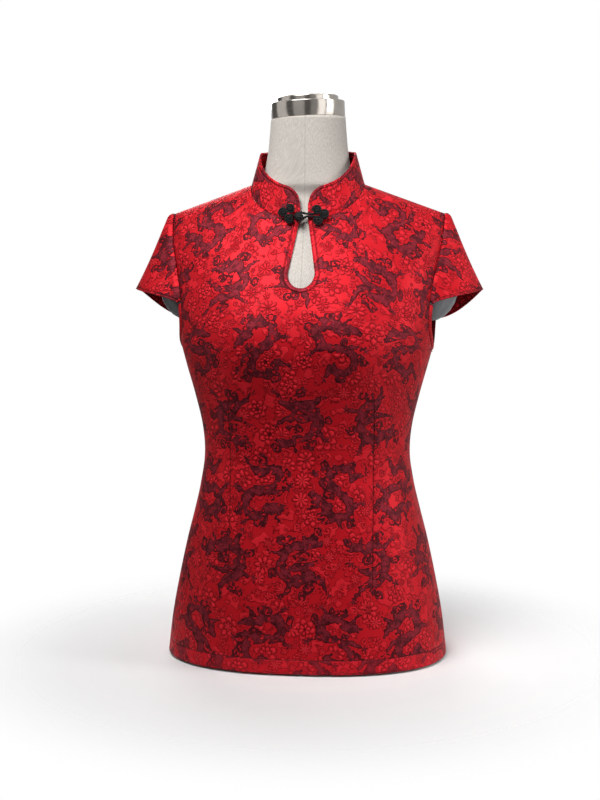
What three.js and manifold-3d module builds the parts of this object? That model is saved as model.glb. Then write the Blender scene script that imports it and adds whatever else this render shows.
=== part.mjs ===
// Cheongsam top on a limbless dress form.
//
// Millimetres, +Z up. The front faces -Y and the wearer's left side is at +X.
// The origin is on the surface that the form stands on, below the middle of the neck.
//
// The body of the top is one smooth surface, cut into a front and a back at the side and
// shoulder seams. Each panel is a sheet of points on that surface, thickened inwards.
// The collar, the sleeves and the armhole bindings start from the panels' own edge points.

import * as THREE from 'three';
import { mergeGeometries, mergeVertices } from 'three/addons/utils/BufferGeometryUtils.js';
import Module from 'manifold-3d';

const wasm = await Module();
wasm.setup();

// ---- Cloth ----------------------------------------------------------------------------

const SEAM_GAP = 0.3;
const CLOTH_WALL = 1.5;
const COLLAR_WALL = 2.2;
const BINDING_WALL = 2.4;

// ---- Body of the top --------------------------------------------------------------------

const HEM_Z = 3;
const UNDERARM_Z = 397;
const SIDE_NECK = { x: 73, z: 611 };
const SHOULDER_TIP = { x: 175, z: 574 };
const SHOULDER_SEAM_Y = 10;
const FRONT_NECK_Z = 565;
const BACK_NECK_Z = 618;

// Horizontal sections, a row for each height: half the width across the body, and the
// depth from the side seams to the middle of the front and to the middle of the back.
const BODY_SECTIONS = [
  { z: 3, halfWidth: 183.6, front: 128, back: 138 },
  { z: 50, halfWidth: 177.8, front: 128, back: 136 },
  { z: 100, halfWidth: 168.6, front: 124.5, back: 128 },
  { z: 150, halfWidth: 157.8, front: 117, back: 114.5 },
  { z: 190, halfWidth: 147.6, front: 110.5, back: 103 },
  { z: 225, halfWidth: 139.3, front: 106.5, back: 93 },
  { z: 263, halfWidth: 133.8, front: 104, back: 86 },
  { z: 300, halfWidth: 136.2, front: 107, back: 90 },
  { z: 340, halfWidth: 145.1, front: 113.5, back: 98 },
  { z: 380, halfWidth: 156, front: 120, back: 105 },
  { z: 410, halfWidth: 163.5, front: 123, back: 109 },
  { z: 446, halfWidth: 167.5, front: 117, back: 112 },
  { z: 488, halfWidth: 171, front: 99.5, back: 109.5 },
  { z: 531, halfWidth: 176, front: 74.5, back: 101 },
  { z: 565, halfWidth: 177.5, front: 58.5, back: 90 },
  { z: 590, halfWidth: 178, front: 51, back: 80 },
  { z: 618, halfWidth: 178, front: 45, back: 70 },
  { z: 660, halfWidth: 178, front: 40, back: 62 },
];

// The bust darts and the waist darts give the front a soft crown on each side.
const BUST = { x: 68, z: 414, crown: 9, spreadX: 36, spreadZ: 40 };

// Over the shoulder the section rounds off, from the seam down through this height.
const SHOULDER_ROUND = { atNeck: 90, atTip: 65 };

// The armhole seam, a row for each turn up from the underarm to the shoulder tip: how far
// in from the side line it lies, as a share of the way to the middle.
const ARMHOLE_SEAM = [
  { turn: 0, front: 0, back: 0 },
  { turn: 25, front: 0.12, back: 0.085 },
  { turn: 50, front: 0.235, back: 0.148 },
  { turn: 77, front: 0.252, back: 0.16 },
  { turn: 106, front: 0.198, back: 0.15 },
  { turn: 137, front: 0.13, back: 0.137 },
  { turn: 160, front: 0.112, back: 0.128 },
];

// ---- Keyhole ------------------------------------------------------------------------------

const KEYHOLE = { topHalfGap: 5.2, roundZ: 499, roundX: 16.5, roundZRadius: 18, roundEnd: 11 };

// ---- Collar, sleeves and bindings -----------------------------------------------------------

const COLLAR = {
  gapIn: 0.4, gapUp: 0.2, gapForward: 0.3,
  height: 40, rise: 39.5, lean: 0.15, axisY: 6, cornerDrop: 21, cornerLength: 22,
};

// The front edge of a sleeve ends at the turn FRONT_NOTCH of the armhole, the back at BACK_NOTCH.
const FRONT_NOTCH = 75;
const BACK_NOTCH = 60;
const SLEEVE_HEM = {
  outerX: 223, outerY: 4, outerZ: 477,
  front: { x: 162, y: -50, z: 460, rise: 0.9 },
  back: { x: 168, y: 49, z: 438, rise: 1.2 },
};
// A line down the sleeve starts almost level from the seam, then heads for the hem. All
// three are shares of its length.
const SLEEVE_HEAD = { start: 0.11, turn: 0.26, puff: 0.023 };

const BINDING = { gap: 0.45, endGap: 1.8, width: 8, flare: 0.45, proud: 0.5 };
// Its rounded section, as shares of its width and of its wall.
const BINDING_SECTION = [
  { out: 0, down: 0.1 },
  { out: 0.5, down: 0 },
  { out: 0.9, down: 0.1 },
  { out: 1, down: 0.5 },
  { out: 0.9, down: 0.9 },
  { out: 0, down: 1 },
];

// ---- Frog -------------------------------------------------------------------------------

const COIL = { radius: 6.3, halfThickness: 3.3 };
const BUTTON_COILS = [
  { x: -25.5, y: -61.6, z: 573.8 },
  { x: -16.8, y: -61.4, z: 578.8 },
  { x: -17.5, y: -63.2, z: 566.2 },
];
const LOOP_COILS = [
  { x: 16.6, y: -61.4, z: 577.1 },
  { x: 26.8, y: -61.6, z: 571.9 },
  { x: 18.3, y: -63.2, z: 564.4 },
];
const KNOT = { x: -5.2, y: -67.6, z: 568, radius: 5.8 };
const STEM_RADIUS = 1.1;
const STEM_ROUTE = [
  { x: -5.2, y: -64.4, z: 568.4 },
  { x: -5.8, y: -60.6, z: 568.9 },
  { x: -8.4, y: -59.3, z: 569 },
  { x: -12, y: -60, z: 569.8 },
  { x: -15.6, y: -61.8, z: 571 },
];
const LOOP_RADIUS = 0.9;
const LOOP_ROUTE = [
  { x: 17.5, y: -61.6, z: 572.4 },
  { x: 10, y: -61.6, z: 572.2 },
  { x: 3, y: -61.7, z: 572.4 },
  { x: -3, y: -61.6, z: 573.8 },
  { x: -8.2, y: -61.7, z: 572.4 },
  { x: -9.9, y: -61.7, z: 569.2 },
  { x: -8.2, y: -61.7, z: 565.6 },
  { x: -3.5, y: -61.6, z: 564.2 },
  { x: 3, y: -61.7, z: 568.6 },
  { x: 10, y: -61.6, z: 569 },
  { x: 17.5, y: -61.8, z: 568.4 },
];

// ---- Dress form -----------------------------------------------------------------------------

// The torso keeps inside the top. A row for each height: half the width, and how far the
// front and the back keep clear of the cloth. The last rows are the shoulder's slope.
const TORSO_SECTIONS = [
  { z: 0, halfWidth: 175.5, clear: 7.5 },
  { z: 50, halfWidth: 170, clear: 6.5 },
  { z: 100, halfWidth: 162, clear: 5.5 },
  { z: 150, halfWidth: 152.5, clear: 4.5 },
  { z: 190, halfWidth: 143, clear: 3.8 },
  { z: 225, halfWidth: 135, clear: 3.2 },
  { z: 263, halfWidth: 129.6, clear: 2.8 },
  { z: 300, halfWidth: 132, clear: 2.6 },
  { z: 340, halfWidth: 140.6, clear: 2.4 },
  { z: 380, halfWidth: 150, clear: 2.6 },
  { z: 412, halfWidth: 155.5, clear: 3 },
  { z: 446, halfWidth: 157.5, clear: 2 },
  { z: 488, halfWidth: 158, clear: 1.5 },
  { z: 531, halfWidth: 158.5, clear: 1.2 },
  { z: 556, halfWidth: 158, clear: 1.5 },
  { z: 568, halfWidth: 156.5, clear: 1.7 },
  { z: 575, halfWidth: 154, clear: 1.9 },
];
const TORSO_SHOULDER_DROP = 2.6;
const TORSO_SHOULDER_STEPS = [580, 585, 590, 595, 600, 605];

// The neck, a row for each height: half the width, and where its front and back lie.
const NECK_SECTIONS = [
  { z: 600, halfWidth: 71.6, front: -45.6, back: 72.6 },
  { z: 609, halfWidth: 65, front: -45.1, back: 67.1 },
  { z: 616, halfWidth: 60.1, front: -44.6, back: 62.6 },
  { z: 624, halfWidth: 57.3, front: -43.7, back: 59.6 },
  { z: 636, halfWidth: 54.5, front: -43, back: 57.7 },
  { z: 652, halfWidth: 51.6, front: -42, back: 56.1 },
  { z: 672, halfWidth: 49.6, front: -41, back: 55.7 },
  { z: 694.5, halfWidth: 47.8, front: -40, back: 55.7 },
];
const NECK_BLEND = { from: 588, to: 611 };
const NECK_TOP = { z: 694.5, y: 8, tilt: 2.3 };
const NECK_CAP = { radius: 47.3, height: 20.5, discRadius: 39.5, discHeight: 6.5, dome: 3.5, edge: 1.2 };
const ARM_PLATE = { x: 158, y: 1, z: 485, radiusX: 37, radiusY: 32, radiusZ: 49 };

// ---- How finely the surfaces are divided ------------------------------------------------------

const SEAM_ROWS = 12;
const ARMHOLE_ROWS = 12;
const NECK_COLUMNS = 7;
const SHOULDER_COLUMNS = 5;
const PANEL_COLUMNS = NECK_COLUMNS + SHOULDER_COLUMNS;
const PANEL_ROWS = SEAM_ROWS + ARMHOLE_ROWS;
const KEYHOLE_ROUND_ROWS = 5;
const KEYHOLE_SLIT_ROWS = 4;
const SLEEVE_ROWS = 8;
const COLLAR_ROWS = 5;
const TORSO_COLUMNS = 20;
const QUARTER = Math.PI / 2;

// ---- Small helpers ------------------------------------------------------------------------

const mix = THREE.MathUtils.lerp;
const clamp = THREE.MathUtils.clamp;
const radians = THREE.MathUtils.degToRad;
const vector = (place) => new THREE.Vector3(place.x, place.y, place.z);

// A smooth curve through one named column of a table, read at a value of the key column.
function curve(table, key, column) {
  const at = table.map((row) => row[key]);
  const value = table.map((row) => row[column]);
  const last = table.length - 1;
  const slope = value.map((_, i) => {
    const before = Math.max(i - 1, 0);
    const after = Math.min(i + 1, last);
    return (value[after] - value[before]) / (at[after] - at[before]);
  });
  return (t) => {
    const found = at.findIndex((edge) => edge > t);
    const i = clamp(found < 0 ? last : found, 1, last) - 1;
    const span = at[i + 1] - at[i];
    const u = clamp((t - at[i]) / span, 0, 1);
    const rise = value[i + 1] - value[i];
    const bend = u * (1 - u) * ((1 - u) * (slope[i] * span - rise) - u * (slope[i + 1] * span - rise));
    return value[i] + rise * u + bend;
  };
}

// ---- Solids from sheets, rings and booleans ---------------------------------------------------

// An open sheet of (columns x rows) quads. place(i, j) puts each point, with its outer
// face where i runs to the right and j runs up.
function sheet(columns, rows, place) {
  const plane = new THREE.PlaneGeometry(1, 1, columns, rows);
  const { position, uv } = plane.attributes;
  for (let k = 0; k < position.count; k += 1) {
    const point = place(Math.round(uv.getX(k) * columns), Math.round(uv.getY(k) * rows));
    position.setXYZ(k, point.x, point.y, point.z);
  }
  return plane;
}

function bare(geometry) {
  const copy = geometry.clone();
  copy.deleteAttribute('normal');
  copy.deleteAttribute('uv');
  return mergeVertices(copy);
}

// Gives sheets that share edges one wall: an inner face is set back along the normals, and
// rims close it where the sheet ends. adjust can change a point's normal.
function wall(sheets, thickness, adjust = () => {}) {
  const outer = bare(mergeGeometries(sheets));
  outer.computeVertexNormals();
  const { position, normal } = outer.attributes;
  const count = position.count;
  const read = (attribute, k) => new THREE.Vector3().fromBufferAttribute(attribute, k);
  const points = Array.from({ length: count }, (_, k) => read(position, k));
  const inner = points.map((point, k) => {
    const away = read(normal, k);
    adjust(point, away);
    return point.clone().addScaledVector(away.normalize(), -thickness);
  });
  const index = [];
  const rim = new Map();
  for (let k = 0; k < outer.index.count; k += 3) {
    const corner = [0, 1, 2].map((step) => outer.index.getX(k + step));
    index.push(...corner, corner[2] + count, corner[1] + count, corner[0] + count);
    for (let step = 0; step < 3; step += 1) {
      const from = corner[step];
      const to = corner[(step + 1) % 3];
      if (!rim.delete(`${to},${from}`)) {
        rim.set(`${from},${to}`, [from, to]);
      }
    }
  }
  for (const [from, to] of rim.values()) {
    index.push(to, from, from + count, to, from + count, to + count);
  }
  const solid = new THREE.BufferGeometry().setFromPoints([...points, ...inner]);
  solid.setIndex(index);
  return solid;
}

// A closed solid through rings of points. Its faces point outwards where every ring runs
// anticlockwise about the direction of travel.
function loft(rings) {
  const size = rings[0].length;
  const index = [];
  for (let r = 0; r + 1 < rings.length; r += 1) {
    for (let k = 0; k < size; k += 1) {
      const a = r * size + k;
      const b = r * size + (k + 1) % size;
      index.push(a, b, b + size, a, b + size, a + size);
    }
  }
  const points = rings.flat();
  const end = (ring, from, flip) => {
    const centre = ring.reduce((sum, point) => sum.add(point), new THREE.Vector3()).divideScalar(size);
    const middle = points.push(centre) - 1;
    for (let k = 0; k < size; k += 1) {
      const pair = [from + k, from + (k + 1) % size];
      index.push(middle, pair[flip ? 1 : 0], pair[flip ? 0 : 1]);
    }
  };
  end(rings[0], 0, true);
  end(rings[rings.length - 1], (rings.length - 1) * size, false);
  const solid = new THREE.BufferGeometry().setFromPoints(points);
  solid.setIndex(index);
  return solid;
}

function toManifold(geometry) {
  const closed = bare(geometry);
  return new wasm.Manifold(new wasm.Mesh({
    numProp: 3,
    vertProperties: new Float32Array(closed.attributes.position.array),
    triVerts: new Uint32Array(closed.index.array),
  }));
}

function fromManifold(manifold) {
  const mesh = manifold.getMesh();
  const geometry = new THREE.BufferGeometry();
  geometry.setAttribute('position', new THREE.BufferAttribute(mesh.vertProperties, 3));
  geometry.setIndex(new THREE.BufferAttribute(mesh.triVerts, 1));
  return geometry;
}

const fuse = (parts) => fromManifold(parts.map(toManifold).reduce((all, part) => all.add(part)));

// ---- The body surface -----------------------------------------------------------------------

const halfWidth = curve(BODY_SECTIONS, 'z', 'halfWidth');

// The front and the back, each with its section's squareness and how fast its shoulder
// line climbs inside the neck.
const FRONT = { sign: -1, power: 2.4, neckClimb: 0.6, depth: curve(BODY_SECTIONS, 'z', 'front') };
const BACK = { sign: 1, power: 2.8, neckClimb: 1.2, depth: curve(BODY_SECTIONS, 'z', 'back') };

const across = (face, share, width) => width * Math.sin(share * QUARTER) ** (2 / face.power);
const shareAt = (face, x, z) => Math.asin(Math.min(x / halfWidth(z), 1) ** (face.power / 2)) / QUARTER;

function shoulderZ(face, x) {
  const slope = (SHOULDER_TIP.z - SIDE_NECK.z) / (SHOULDER_TIP.x - SIDE_NECK.x);
  return SIDE_NECK.z + (x - SIDE_NECK.x) * (x < SIDE_NECK.x ? -face.neckClimb : slope);
}

// How much of the full depth is left at a height, as the section rounds over the shoulder.
function shoulderShare(face, x, z, drop = 0) {
  const round = mix(SHOULDER_ROUND.atNeck, SHOULDER_ROUND.atTip, clamp(x / SHOULDER_TIP.x, 0, 1));
  const below = clamp((shoulderZ(face, x) - drop - z) / round, 0, 1);
  return Math.sqrt(1 - (1 - below) ** 2);
}

function bustCrown(face, x, z) {
  if (face !== FRONT) return 0;
  const away = Math.hypot((x - BUST.x) / BUST.spreadX, (z - BUST.z) / BUST.spreadZ);
  return BUST.crown * Math.exp(-(away ** 2) / 2);
}

// A point of the outer surface, on the wearer's left: share is 0 at the middle of the
// front or back and 1 at the side seam.
function bodyPoint(face, share, z) {
  const x = across(face, share, halfWidth(z));
  const depth = face.depth(z) * Math.cos(share * QUARTER) ** (2 / face.power) + bustCrown(face, x, z);
  const y = mix(SHOULDER_SEAM_Y, face.sign * depth, shoulderShare(face, x, z));
  return new THREE.Vector3(x, y + face.sign * SEAM_GAP / 2, z);
}

// ---- The panels' edges, each a place { share, z } on the body surface ---------------------------

const placeAt = (face, x, z) => ({ share: shareAt(face, x, z), z });

// turn runs from 0 at the middle to 90 degrees at the side neck point.
function neckSeam(face, turn) {
  const middleZ = face === FRONT ? FRONT_NECK_Z : BACK_NECK_Z;
  const z = mix(SIDE_NECK.z, middleZ, Math.cos(radians(turn)));
  return placeAt(face, SIDE_NECK.x * Math.sin(radians(turn)), z);
}

const SLIT_TOP_TURN = THREE.MathUtils.radToDeg(Math.asin(KEYHOLE.topHalfGap / SIDE_NECK.x));

// The columns close up towards the side neck point, where the seam bends most.
function neckTurn(face, i) {
  const start = face === FRONT ? SLIT_TOP_TURN : 0;
  return mix(start, 90, Math.sin(QUARTER * i / NECK_COLUMNS));
}

function topEdge(face, i) {
  if (i <= NECK_COLUMNS) return neckSeam(face, neckTurn(face, i));
  const along = (i - NECK_COLUMNS) / SHOULDER_COLUMNS;
  return placeAt(face, mix(SIDE_NECK.x, SHOULDER_TIP.x, along), mix(SIDE_NECK.z, SHOULDER_TIP.z, along));
}

function armholeSeam(face, turn) {
  const tip = 1 - shareAt(face, SHOULDER_TIP.x, SHOULDER_TIP.z);
  const table = [...ARMHOLE_SEAM, { turn: 180, front: tip, back: tip }];
  const inset = curve(table, 'turn', face === FRONT ? 'front' : 'back')(turn);
  return { share: 1 - inset, z: mix(UNDERARM_Z, SHOULDER_TIP.z, (1 - Math.cos(radians(turn))) / 2) };
}

function sideEdge(face, j) {
  if (j <= SEAM_ROWS) return { share: 1, z: mix(HEM_Z, UNDERARM_Z, j / SEAM_ROWS) };
  return armholeSeam(face, 180 * (j - SEAM_ROWS) / ARMHOLE_ROWS);
}

function middleEdge(face, j) {
  if (j <= SEAM_ROWS) return { share: 0, z: mix(HEM_Z, UNDERARM_Z, j / SEAM_ROWS) };
  const up = j - SEAM_ROWS;
  if (face === BACK) return { share: 0, z: mix(UNDERARM_Z, BACK_NECK_Z, up / ARMHOLE_ROWS) };
  const plainRows = ARMHOLE_ROWS - KEYHOLE_ROUND_ROWS - KEYHOLE_SLIT_ROWS;
  const bottomZ = KEYHOLE.roundZ - KEYHOLE.roundZRadius;
  if (up <= plainRows) return { share: 0, z: mix(UNDERARM_Z, bottomZ, up / plainRows) };
  const roundStep = Math.min((up - plainRows) / KEYHOLE_ROUND_ROWS, 1);
  const turn = radians(mix(-90, KEYHOLE.roundEnd, roundStep));
  const roundX = KEYHOLE.roundX * Math.cos(turn);
  const roundZ = KEYHOLE.roundZ + KEYHOLE.roundZRadius * Math.sin(turn);
  const top = neckSeam(FRONT, SLIT_TOP_TURN);
  const slitStep = Math.max(up - plainRows - KEYHOLE_ROUND_ROWS, 0) / KEYHOLE_SLIT_ROWS;
  return placeAt(FRONT, mix(roundX, KEYHOLE.topHalfGap, slitStep), mix(roundZ, top.z, slitStep));
}

// Between its edges a panel's lines run straight, and bend to the top edge near the top.
function panelPlace(face, i, j) {
  const s = i / PANEL_COLUMNS;
  const middle = middleEdge(face, j);
  const side = sideEdge(face, j);
  const middleTop = middleEdge(face, PANEL_ROWS);
  const sideTop = sideEdge(face, PANEL_ROWS);
  const top = topEdge(face, i);
  const pull = ((middle.z - HEM_Z) / (middleTop.z - HEM_Z)) ** 4;
  return {
    share: mix(middle.share, side.share, s) + pull * (top.share - mix(middleTop.share, sideTop.share, s)),
    z: mix(middle.z, side.z, s) + pull * (top.z - mix(middleTop.z, sideTop.z, s)),
  };
}

function panelPoint(face, i, j) {
  const place = panelPlace(face, i, j);
  return bodyPoint(face, place.share, place.z);
}

const mirrored = (point) => new THREE.Vector3(-point.x, point.y, point.z);

function panel(face) {
  const left = (i, j) => panelPoint(face, i, j);
  const right = (i, j) => mirrored(panelPoint(face, PANEL_COLUMNS - i, j));
  const halves = [left, right].map((place) => sheet(PANEL_COLUMNS, PANEL_ROWS, (i, j) => (
    face === FRONT ? place(i, j) : mirrored(place(i, j))
  )));
  // Along a seam both panels are set back within the seam's plane, so they don't cross it.
  return wall(halves, CLOTH_WALL, (point, normal) => {
    const onSideSeam = Math.abs(point.y) < SEAM_GAP && point.z < UNDERARM_Z + 1;
    const onShoulderSeam = Math.abs(point.y - SHOULDER_SEAM_Y) < SEAM_GAP && point.z > SHOULDER_TIP.z - 1;
    if (onSideSeam || onShoulderSeam) normal.setY(0);
  });
}

// ---- Edge points for what is sewn on --------------------------------------------------------

// A point of the armhole seam on the wearer's left, with the surface's normal there and
// the direction, in the surface, that leads off the panel into the armhole.
function armholeFrame(face, turn) {
  const inwards = 0.02;
  const onSeam = (at) => {
    const place = armholeSeam(face, at);
    return bodyPoint(face, place.share, place.z);
  };
  const place = armholeSeam(face, turn);
  const point = onSeam(turn);
  const towardsMiddle = bodyPoint(face, place.share - inwards, place.z).sub(point);
  const down = bodyPoint(face, place.share, place.z - 1).sub(point);
  const normal = new THREE.Vector3().crossVectors(down, towardsMiddle).multiplyScalar(face.sign).normalize();
  const upwards = onSeam(Math.min(turn + 1, 180)).sub(onSeam(Math.min(turn, 179)));
  const off = new THREE.Vector3().crossVectors(normal, upwards).multiplyScalar(face.sign).normalize();
  return { point, normal, off };
}

// ---- Sleeve ---------------------------------------------------------------------------------

const STEP_TURN = 180 / ARMHOLE_ROWS;
const FRONT_SLEEVE_COLUMNS = (180 - FRONT_NOTCH) / STEP_TURN;
const SLEEVE_COLUMNS = FRONT_SLEEVE_COLUMNS + (180 - BACK_NOTCH) / STEP_TURN;

function sleeveSeamPoint(i) {
  const face = i <= FRONT_SLEEVE_COLUMNS ? FRONT : BACK;
  const turn = face === FRONT ? FRONT_NOTCH + i * STEP_TURN : 180 - (i - FRONT_SLEEVE_COLUMNS) * STEP_TURN;
  if (turn === 180) return new THREE.Vector3(SHOULDER_TIP.x + SEAM_GAP, SHOULDER_SEAM_Y, SHOULDER_TIP.z);
  const { point, off } = armholeFrame(face, turn);
  return point.addScaledVector(off, SEAM_GAP);
}

function sleeveHemPoint(i) {
  const front = i <= FRONT_SLEEVE_COLUMNS;
  const end = front ? SLEEVE_HEM.front : SLEEVE_HEM.back;
  const towardsEnd = front
    ? 1 - i / FRONT_SLEEVE_COLUMNS
    : (i - FRONT_SLEEVE_COLUMNS) / (SLEEVE_COLUMNS - FRONT_SLEEVE_COLUMNS);
  const x = mix(end.x, SLEEVE_HEM.outerX, Math.cos(towardsEnd * QUARTER));
  const y = mix(SLEEVE_HEM.outerY, end.y, Math.sin(towardsEnd * QUARTER));
  const out = clamp((x - end.x) / (SLEEVE_HEM.outerX - end.x), 0, 1);
  return new THREE.Vector3(x, y, mix(end.z, SLEEVE_HEM.outerZ, out ** end.rise));
}

function sleevePoint(i, j) {
  const start = sleeveSeamPoint(i);
  const end = sleeveHemPoint(i);
  const length = start.distanceTo(end);
  const level = new THREE.Vector3(SLEEVE_HEAD.start * length, 0, SLEEVE_HEAD.puff * length).add(start);
  const turn = start.clone().lerp(end, SLEEVE_HEAD.turn);
  return new THREE.CubicBezierCurve3(start, level, turn, end).getPoint(j / SLEEVE_ROWS);
}

function sleeve(side) {
  const left = (i, j) => sleevePoint(i, SLEEVE_ROWS - j);
  const right = (i, j) => mirrored(left(SLEEVE_COLUMNS - i, j));
  return wall([sheet(SLEEVE_COLUMNS, SLEEVE_ROWS, side > 0 ? left : right)], CLOTH_WALL);
}

// ---- Armhole binding --------------------------------------------------------------------------

// A strip from the front notch, under the arm and up to the back notch. It follows the
// panels' edges and flares a little outwards.
function bindingRing(face, turn, side) {
  const { point, normal, off } = armholeFrame(face, turn);
  const outwards = off.clone().addScaledVector(normal, BINDING.flare).normalize();
  const along = new THREE.Vector3().crossVectors(normal, off);
  const thick = new THREE.Vector3().crossVectors(outwards, along).normalize();
  const start = point.addScaledVector(off, BINDING.gap);
  const ring = BINDING_SECTION.map((corner) => {
    const place = start.clone().addScaledVector(outwards, corner.out * BINDING.width);
    place.addScaledVector(thick, BINDING.proud - corner.down * BINDING_WALL);
    return side > 0 ? place : mirrored(place);
  });
  return side > 0 ? ring.reverse() : ring;
}

function binding(side) {
  const rings = [bindingRing(FRONT, FRONT_NOTCH - BINDING.endGap, side)];
  for (let turn = FRONT_NOTCH - STEP_TURN; turn > 0; turn -= STEP_TURN) {
    rings.push(bindingRing(FRONT, turn, side));
  }
  for (let turn = 0; turn < BACK_NOTCH; turn += STEP_TURN) {
    rings.push(bindingRing(BACK, turn, side));
  }
  rings.push(bindingRing(BACK, BACK_NOTCH - BINDING.endGap, side));
  return loft(rings);
}

// ---- Collar -----------------------------------------------------------------------------------

// The collar stands just inside and above the neck seam, and forward of the back's edge.
function collarSeat(face, i) {
  const place = neckSeam(face, neckTurn(face, i));
  const point = bodyPoint(face, place.share, place.z);
  if (i === NECK_COLUMNS) point.setY(SHOULDER_SEAM_Y);
  if (i === NECK_COLUMNS || face === BACK) point.y -= COLLAR.gapForward;
  const inwards = new THREE.Vector3(-point.x, COLLAR.axisY - point.y, 0).normalize();
  point.z += COLLAR.gapUp;
  return point.addScaledVector(inwards, COLLAR.gapIn);
}

// From the slit on the wearer's left, round the back, to the slit on the right.
function collarBase() {
  const left = [];
  for (let i = 0; i <= NECK_COLUMNS; i += 1) left.push(collarSeat(FRONT, i));
  for (let i = NECK_COLUMNS - 1; i >= 0; i -= 1) left.push(collarSeat(BACK, i));
  const right = left.slice(0, -1).reverse().map(mirrored);
  return [...left, ...right];
}

function collar() {
  const base = collarBase();
  const along = base.map(() => 0);
  for (let i = 1; i < base.length; i += 1) {
    along[i] = along[i - 1] + base[i].distanceTo(base[i - 1]);
  }
  const total = along[along.length - 1];
  const heightAt = (distance) => {
    const fromEnd = clamp(Math.min(distance, total - distance) / COLLAR.cornerLength, 0, 1);
    return COLLAR.height - COLLAR.cornerDrop * (1 - Math.sqrt(1 - (1 - fromEnd) ** 2));
  };
  const cloth = sheet(base.length - 1, COLLAR_ROWS, (i, j) => {
    const start = base[i];
    const up = heightAt(along[i]) / COLLAR.height * j / COLLAR_ROWS;
    return new THREE.Vector3(
      start.x * (1 - COLLAR.lean * up),
      mix(start.y, COLLAR.axisY, COLLAR.lean * up),
      start.z + COLLAR.rise * up,
    );
  });
  return wall([cloth], COLLAR_WALL);
}

// ---- Frog ---------------------------------------------------------------------------------------

function coil(place) {
  const disc = new THREE.SphereGeometry(COIL.radius, 16, 10);
  disc.rotateX(QUARTER);
  disc.scale(1, COIL.halfThickness / COIL.radius, 1);
  return disc.translate(place.x, place.y, place.z);
}

function cord(route, radius, steps) {
  const section = new THREE.Shape().absarc(0, 0, radius, 0, 2 * Math.PI);
  return new THREE.ExtrudeGeometry(section, {
    extrudePath: new THREE.CatmullRomCurve3(route.map(vector)),
    curveSegments: 4,
    steps,
  });
}

function frogButton() {
  const knot = new THREE.SphereGeometry(KNOT.radius, 16, 10).translate(KNOT.x, KNOT.y, KNOT.z);
  return fuse([...BUTTON_COILS.map(coil), cord(STEM_ROUTE, STEM_RADIUS, 12), knot]);
}

const frogLoop = () => fuse([...LOOP_COILS.map(coil), cord(LOOP_ROUTE, LOOP_RADIUS, 36)]);

// ---- Dress form ---------------------------------------------------------------------------------

const torsoHalfWidth = curve(TORSO_SECTIONS, 'z', 'halfWidth');
const torsoClear = curve(TORSO_SECTIONS, 'z', 'clear');
const neckHalfWidth = curve(NECK_SECTIONS, 'z', 'halfWidth');
const neckFront = curve(NECK_SECTIONS, 'z', 'front');
const neckBack = curve(NECK_SECTIONS, 'z', 'back');

// Half the torso's width where its shoulder slopes, a little below the shoulder seam.
function shoulderHalfWidth(z) {
  const slope = (SHOULDER_TIP.x - SIDE_NECK.x) / (SHOULDER_TIP.z - SIDE_NECK.z);
  return SIDE_NECK.x + (z + TORSO_SHOULDER_DROP - SIDE_NECK.z) * slope;
}

// A point of a torso section: turn runs once round from the middle of the back. grow
// makes the torso larger all round, for cutting its neighbours.
function torsoPoint(turn, z, grow) {
  const face = Math.cos(turn) < 0 ? FRONT : BACK;
  const share = Math.asin(Math.abs(Math.sin(turn))) / QUARTER;
  const lastSection = TORSO_SECTIONS[TORSO_SECTIONS.length - 1].z;
  const width = z <= lastSection ? torsoHalfWidth(z) : shoulderHalfWidth(z);
  const x = across(face, share, width + grow);
  const clear = CLOTH_WALL + torsoClear(z) - grow;
  const depth = (face.depth(z) - clear) * Math.cos(share * QUARTER) ** (2 / face.power);
  const full = face.sign * (depth + bustCrown(face, x, z));
  const body = { x, y: mix(SHOULDER_SEAM_Y, full, shoulderShare(face, x, z, TORSO_SHOULDER_DROP)) };
  const middleY = (neckFront(z) + neckBack(z)) / 2;
  const neck = {
    x: neckHalfWidth(z) * Math.sin(share * QUARTER),
    y: middleY + face.sign * (neckBack(z) - neckFront(z)) / 2 * Math.cos(share * QUARTER),
  };
  const blend = THREE.MathUtils.smoothstep(z, NECK_BLEND.from, NECK_BLEND.to);
  const side = Math.sign(Math.sin(turn));
  return new THREE.Vector3(side * mix(body.x, neck.x, blend), mix(body.y, neck.y, blend), z);
}

function torso(grow = 0) {
  const heights = [
    ...TORSO_SECTIONS.map((row) => row.z),
    ...TORSO_SHOULDER_STEPS,
    ...NECK_SECTIONS.slice(1).map((row) => row.z),
  ];
  const count = 2 * TORSO_COLUMNS;
  const rings = heights.map((z) => Array.from({ length: count }, (_, k) => (
    torsoPoint(-2 * Math.PI * (k + 0.5) / count, z, grow)
  )));
  const top = rings[rings.length - 1];
  top.forEach((point) => point.setZ(point.z + point.x * Math.tan(radians(NECK_TOP.tilt))));
  return loft(rings);
}

// Turned steel: a wide ring, a smaller disc on it and a slightly domed top.
function neckCap() {
  const { radius, height, discRadius, discHeight, dome, edge } = NECK_CAP;
  const profile = [
    [0, 0], [radius, 0], [radius, height - edge], [radius - edge, height],
    [discRadius, height], [discRadius, height + discHeight - edge], [discRadius - edge, height + discHeight],
  ].map(([x, y]) => new THREE.Vector2(x, y));
  const domeSteps = 4;
  for (let k = 1; k <= domeSteps; k += 1) {
    const out = Math.cos(QUARTER * k / domeSteps);
    profile.push(new THREE.Vector2(
      k === domeSteps ? 0 : (discRadius - edge) * out,
      height + discHeight + dome * Math.sin(QUARTER * k / domeSteps),
    ));
  }
  return new THREE.LatheGeometry(profile, 40).rotateX(QUARTER);
}

function armPlate(side) {
  const dome = new THREE.SphereGeometry(1, 24, 14);
  dome.scale(ARM_PLATE.radiusX, ARM_PLATE.radiusY, ARM_PLATE.radiusZ);
  dome.translate(side * ARM_PLATE.x, ARM_PLATE.y, ARM_PLATE.z);
  return fromManifold(toManifold(dome).subtract(toManifold(torso(SEAM_GAP))));
}

// ---- The object -----------------------------------------------------------------------------------

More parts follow.
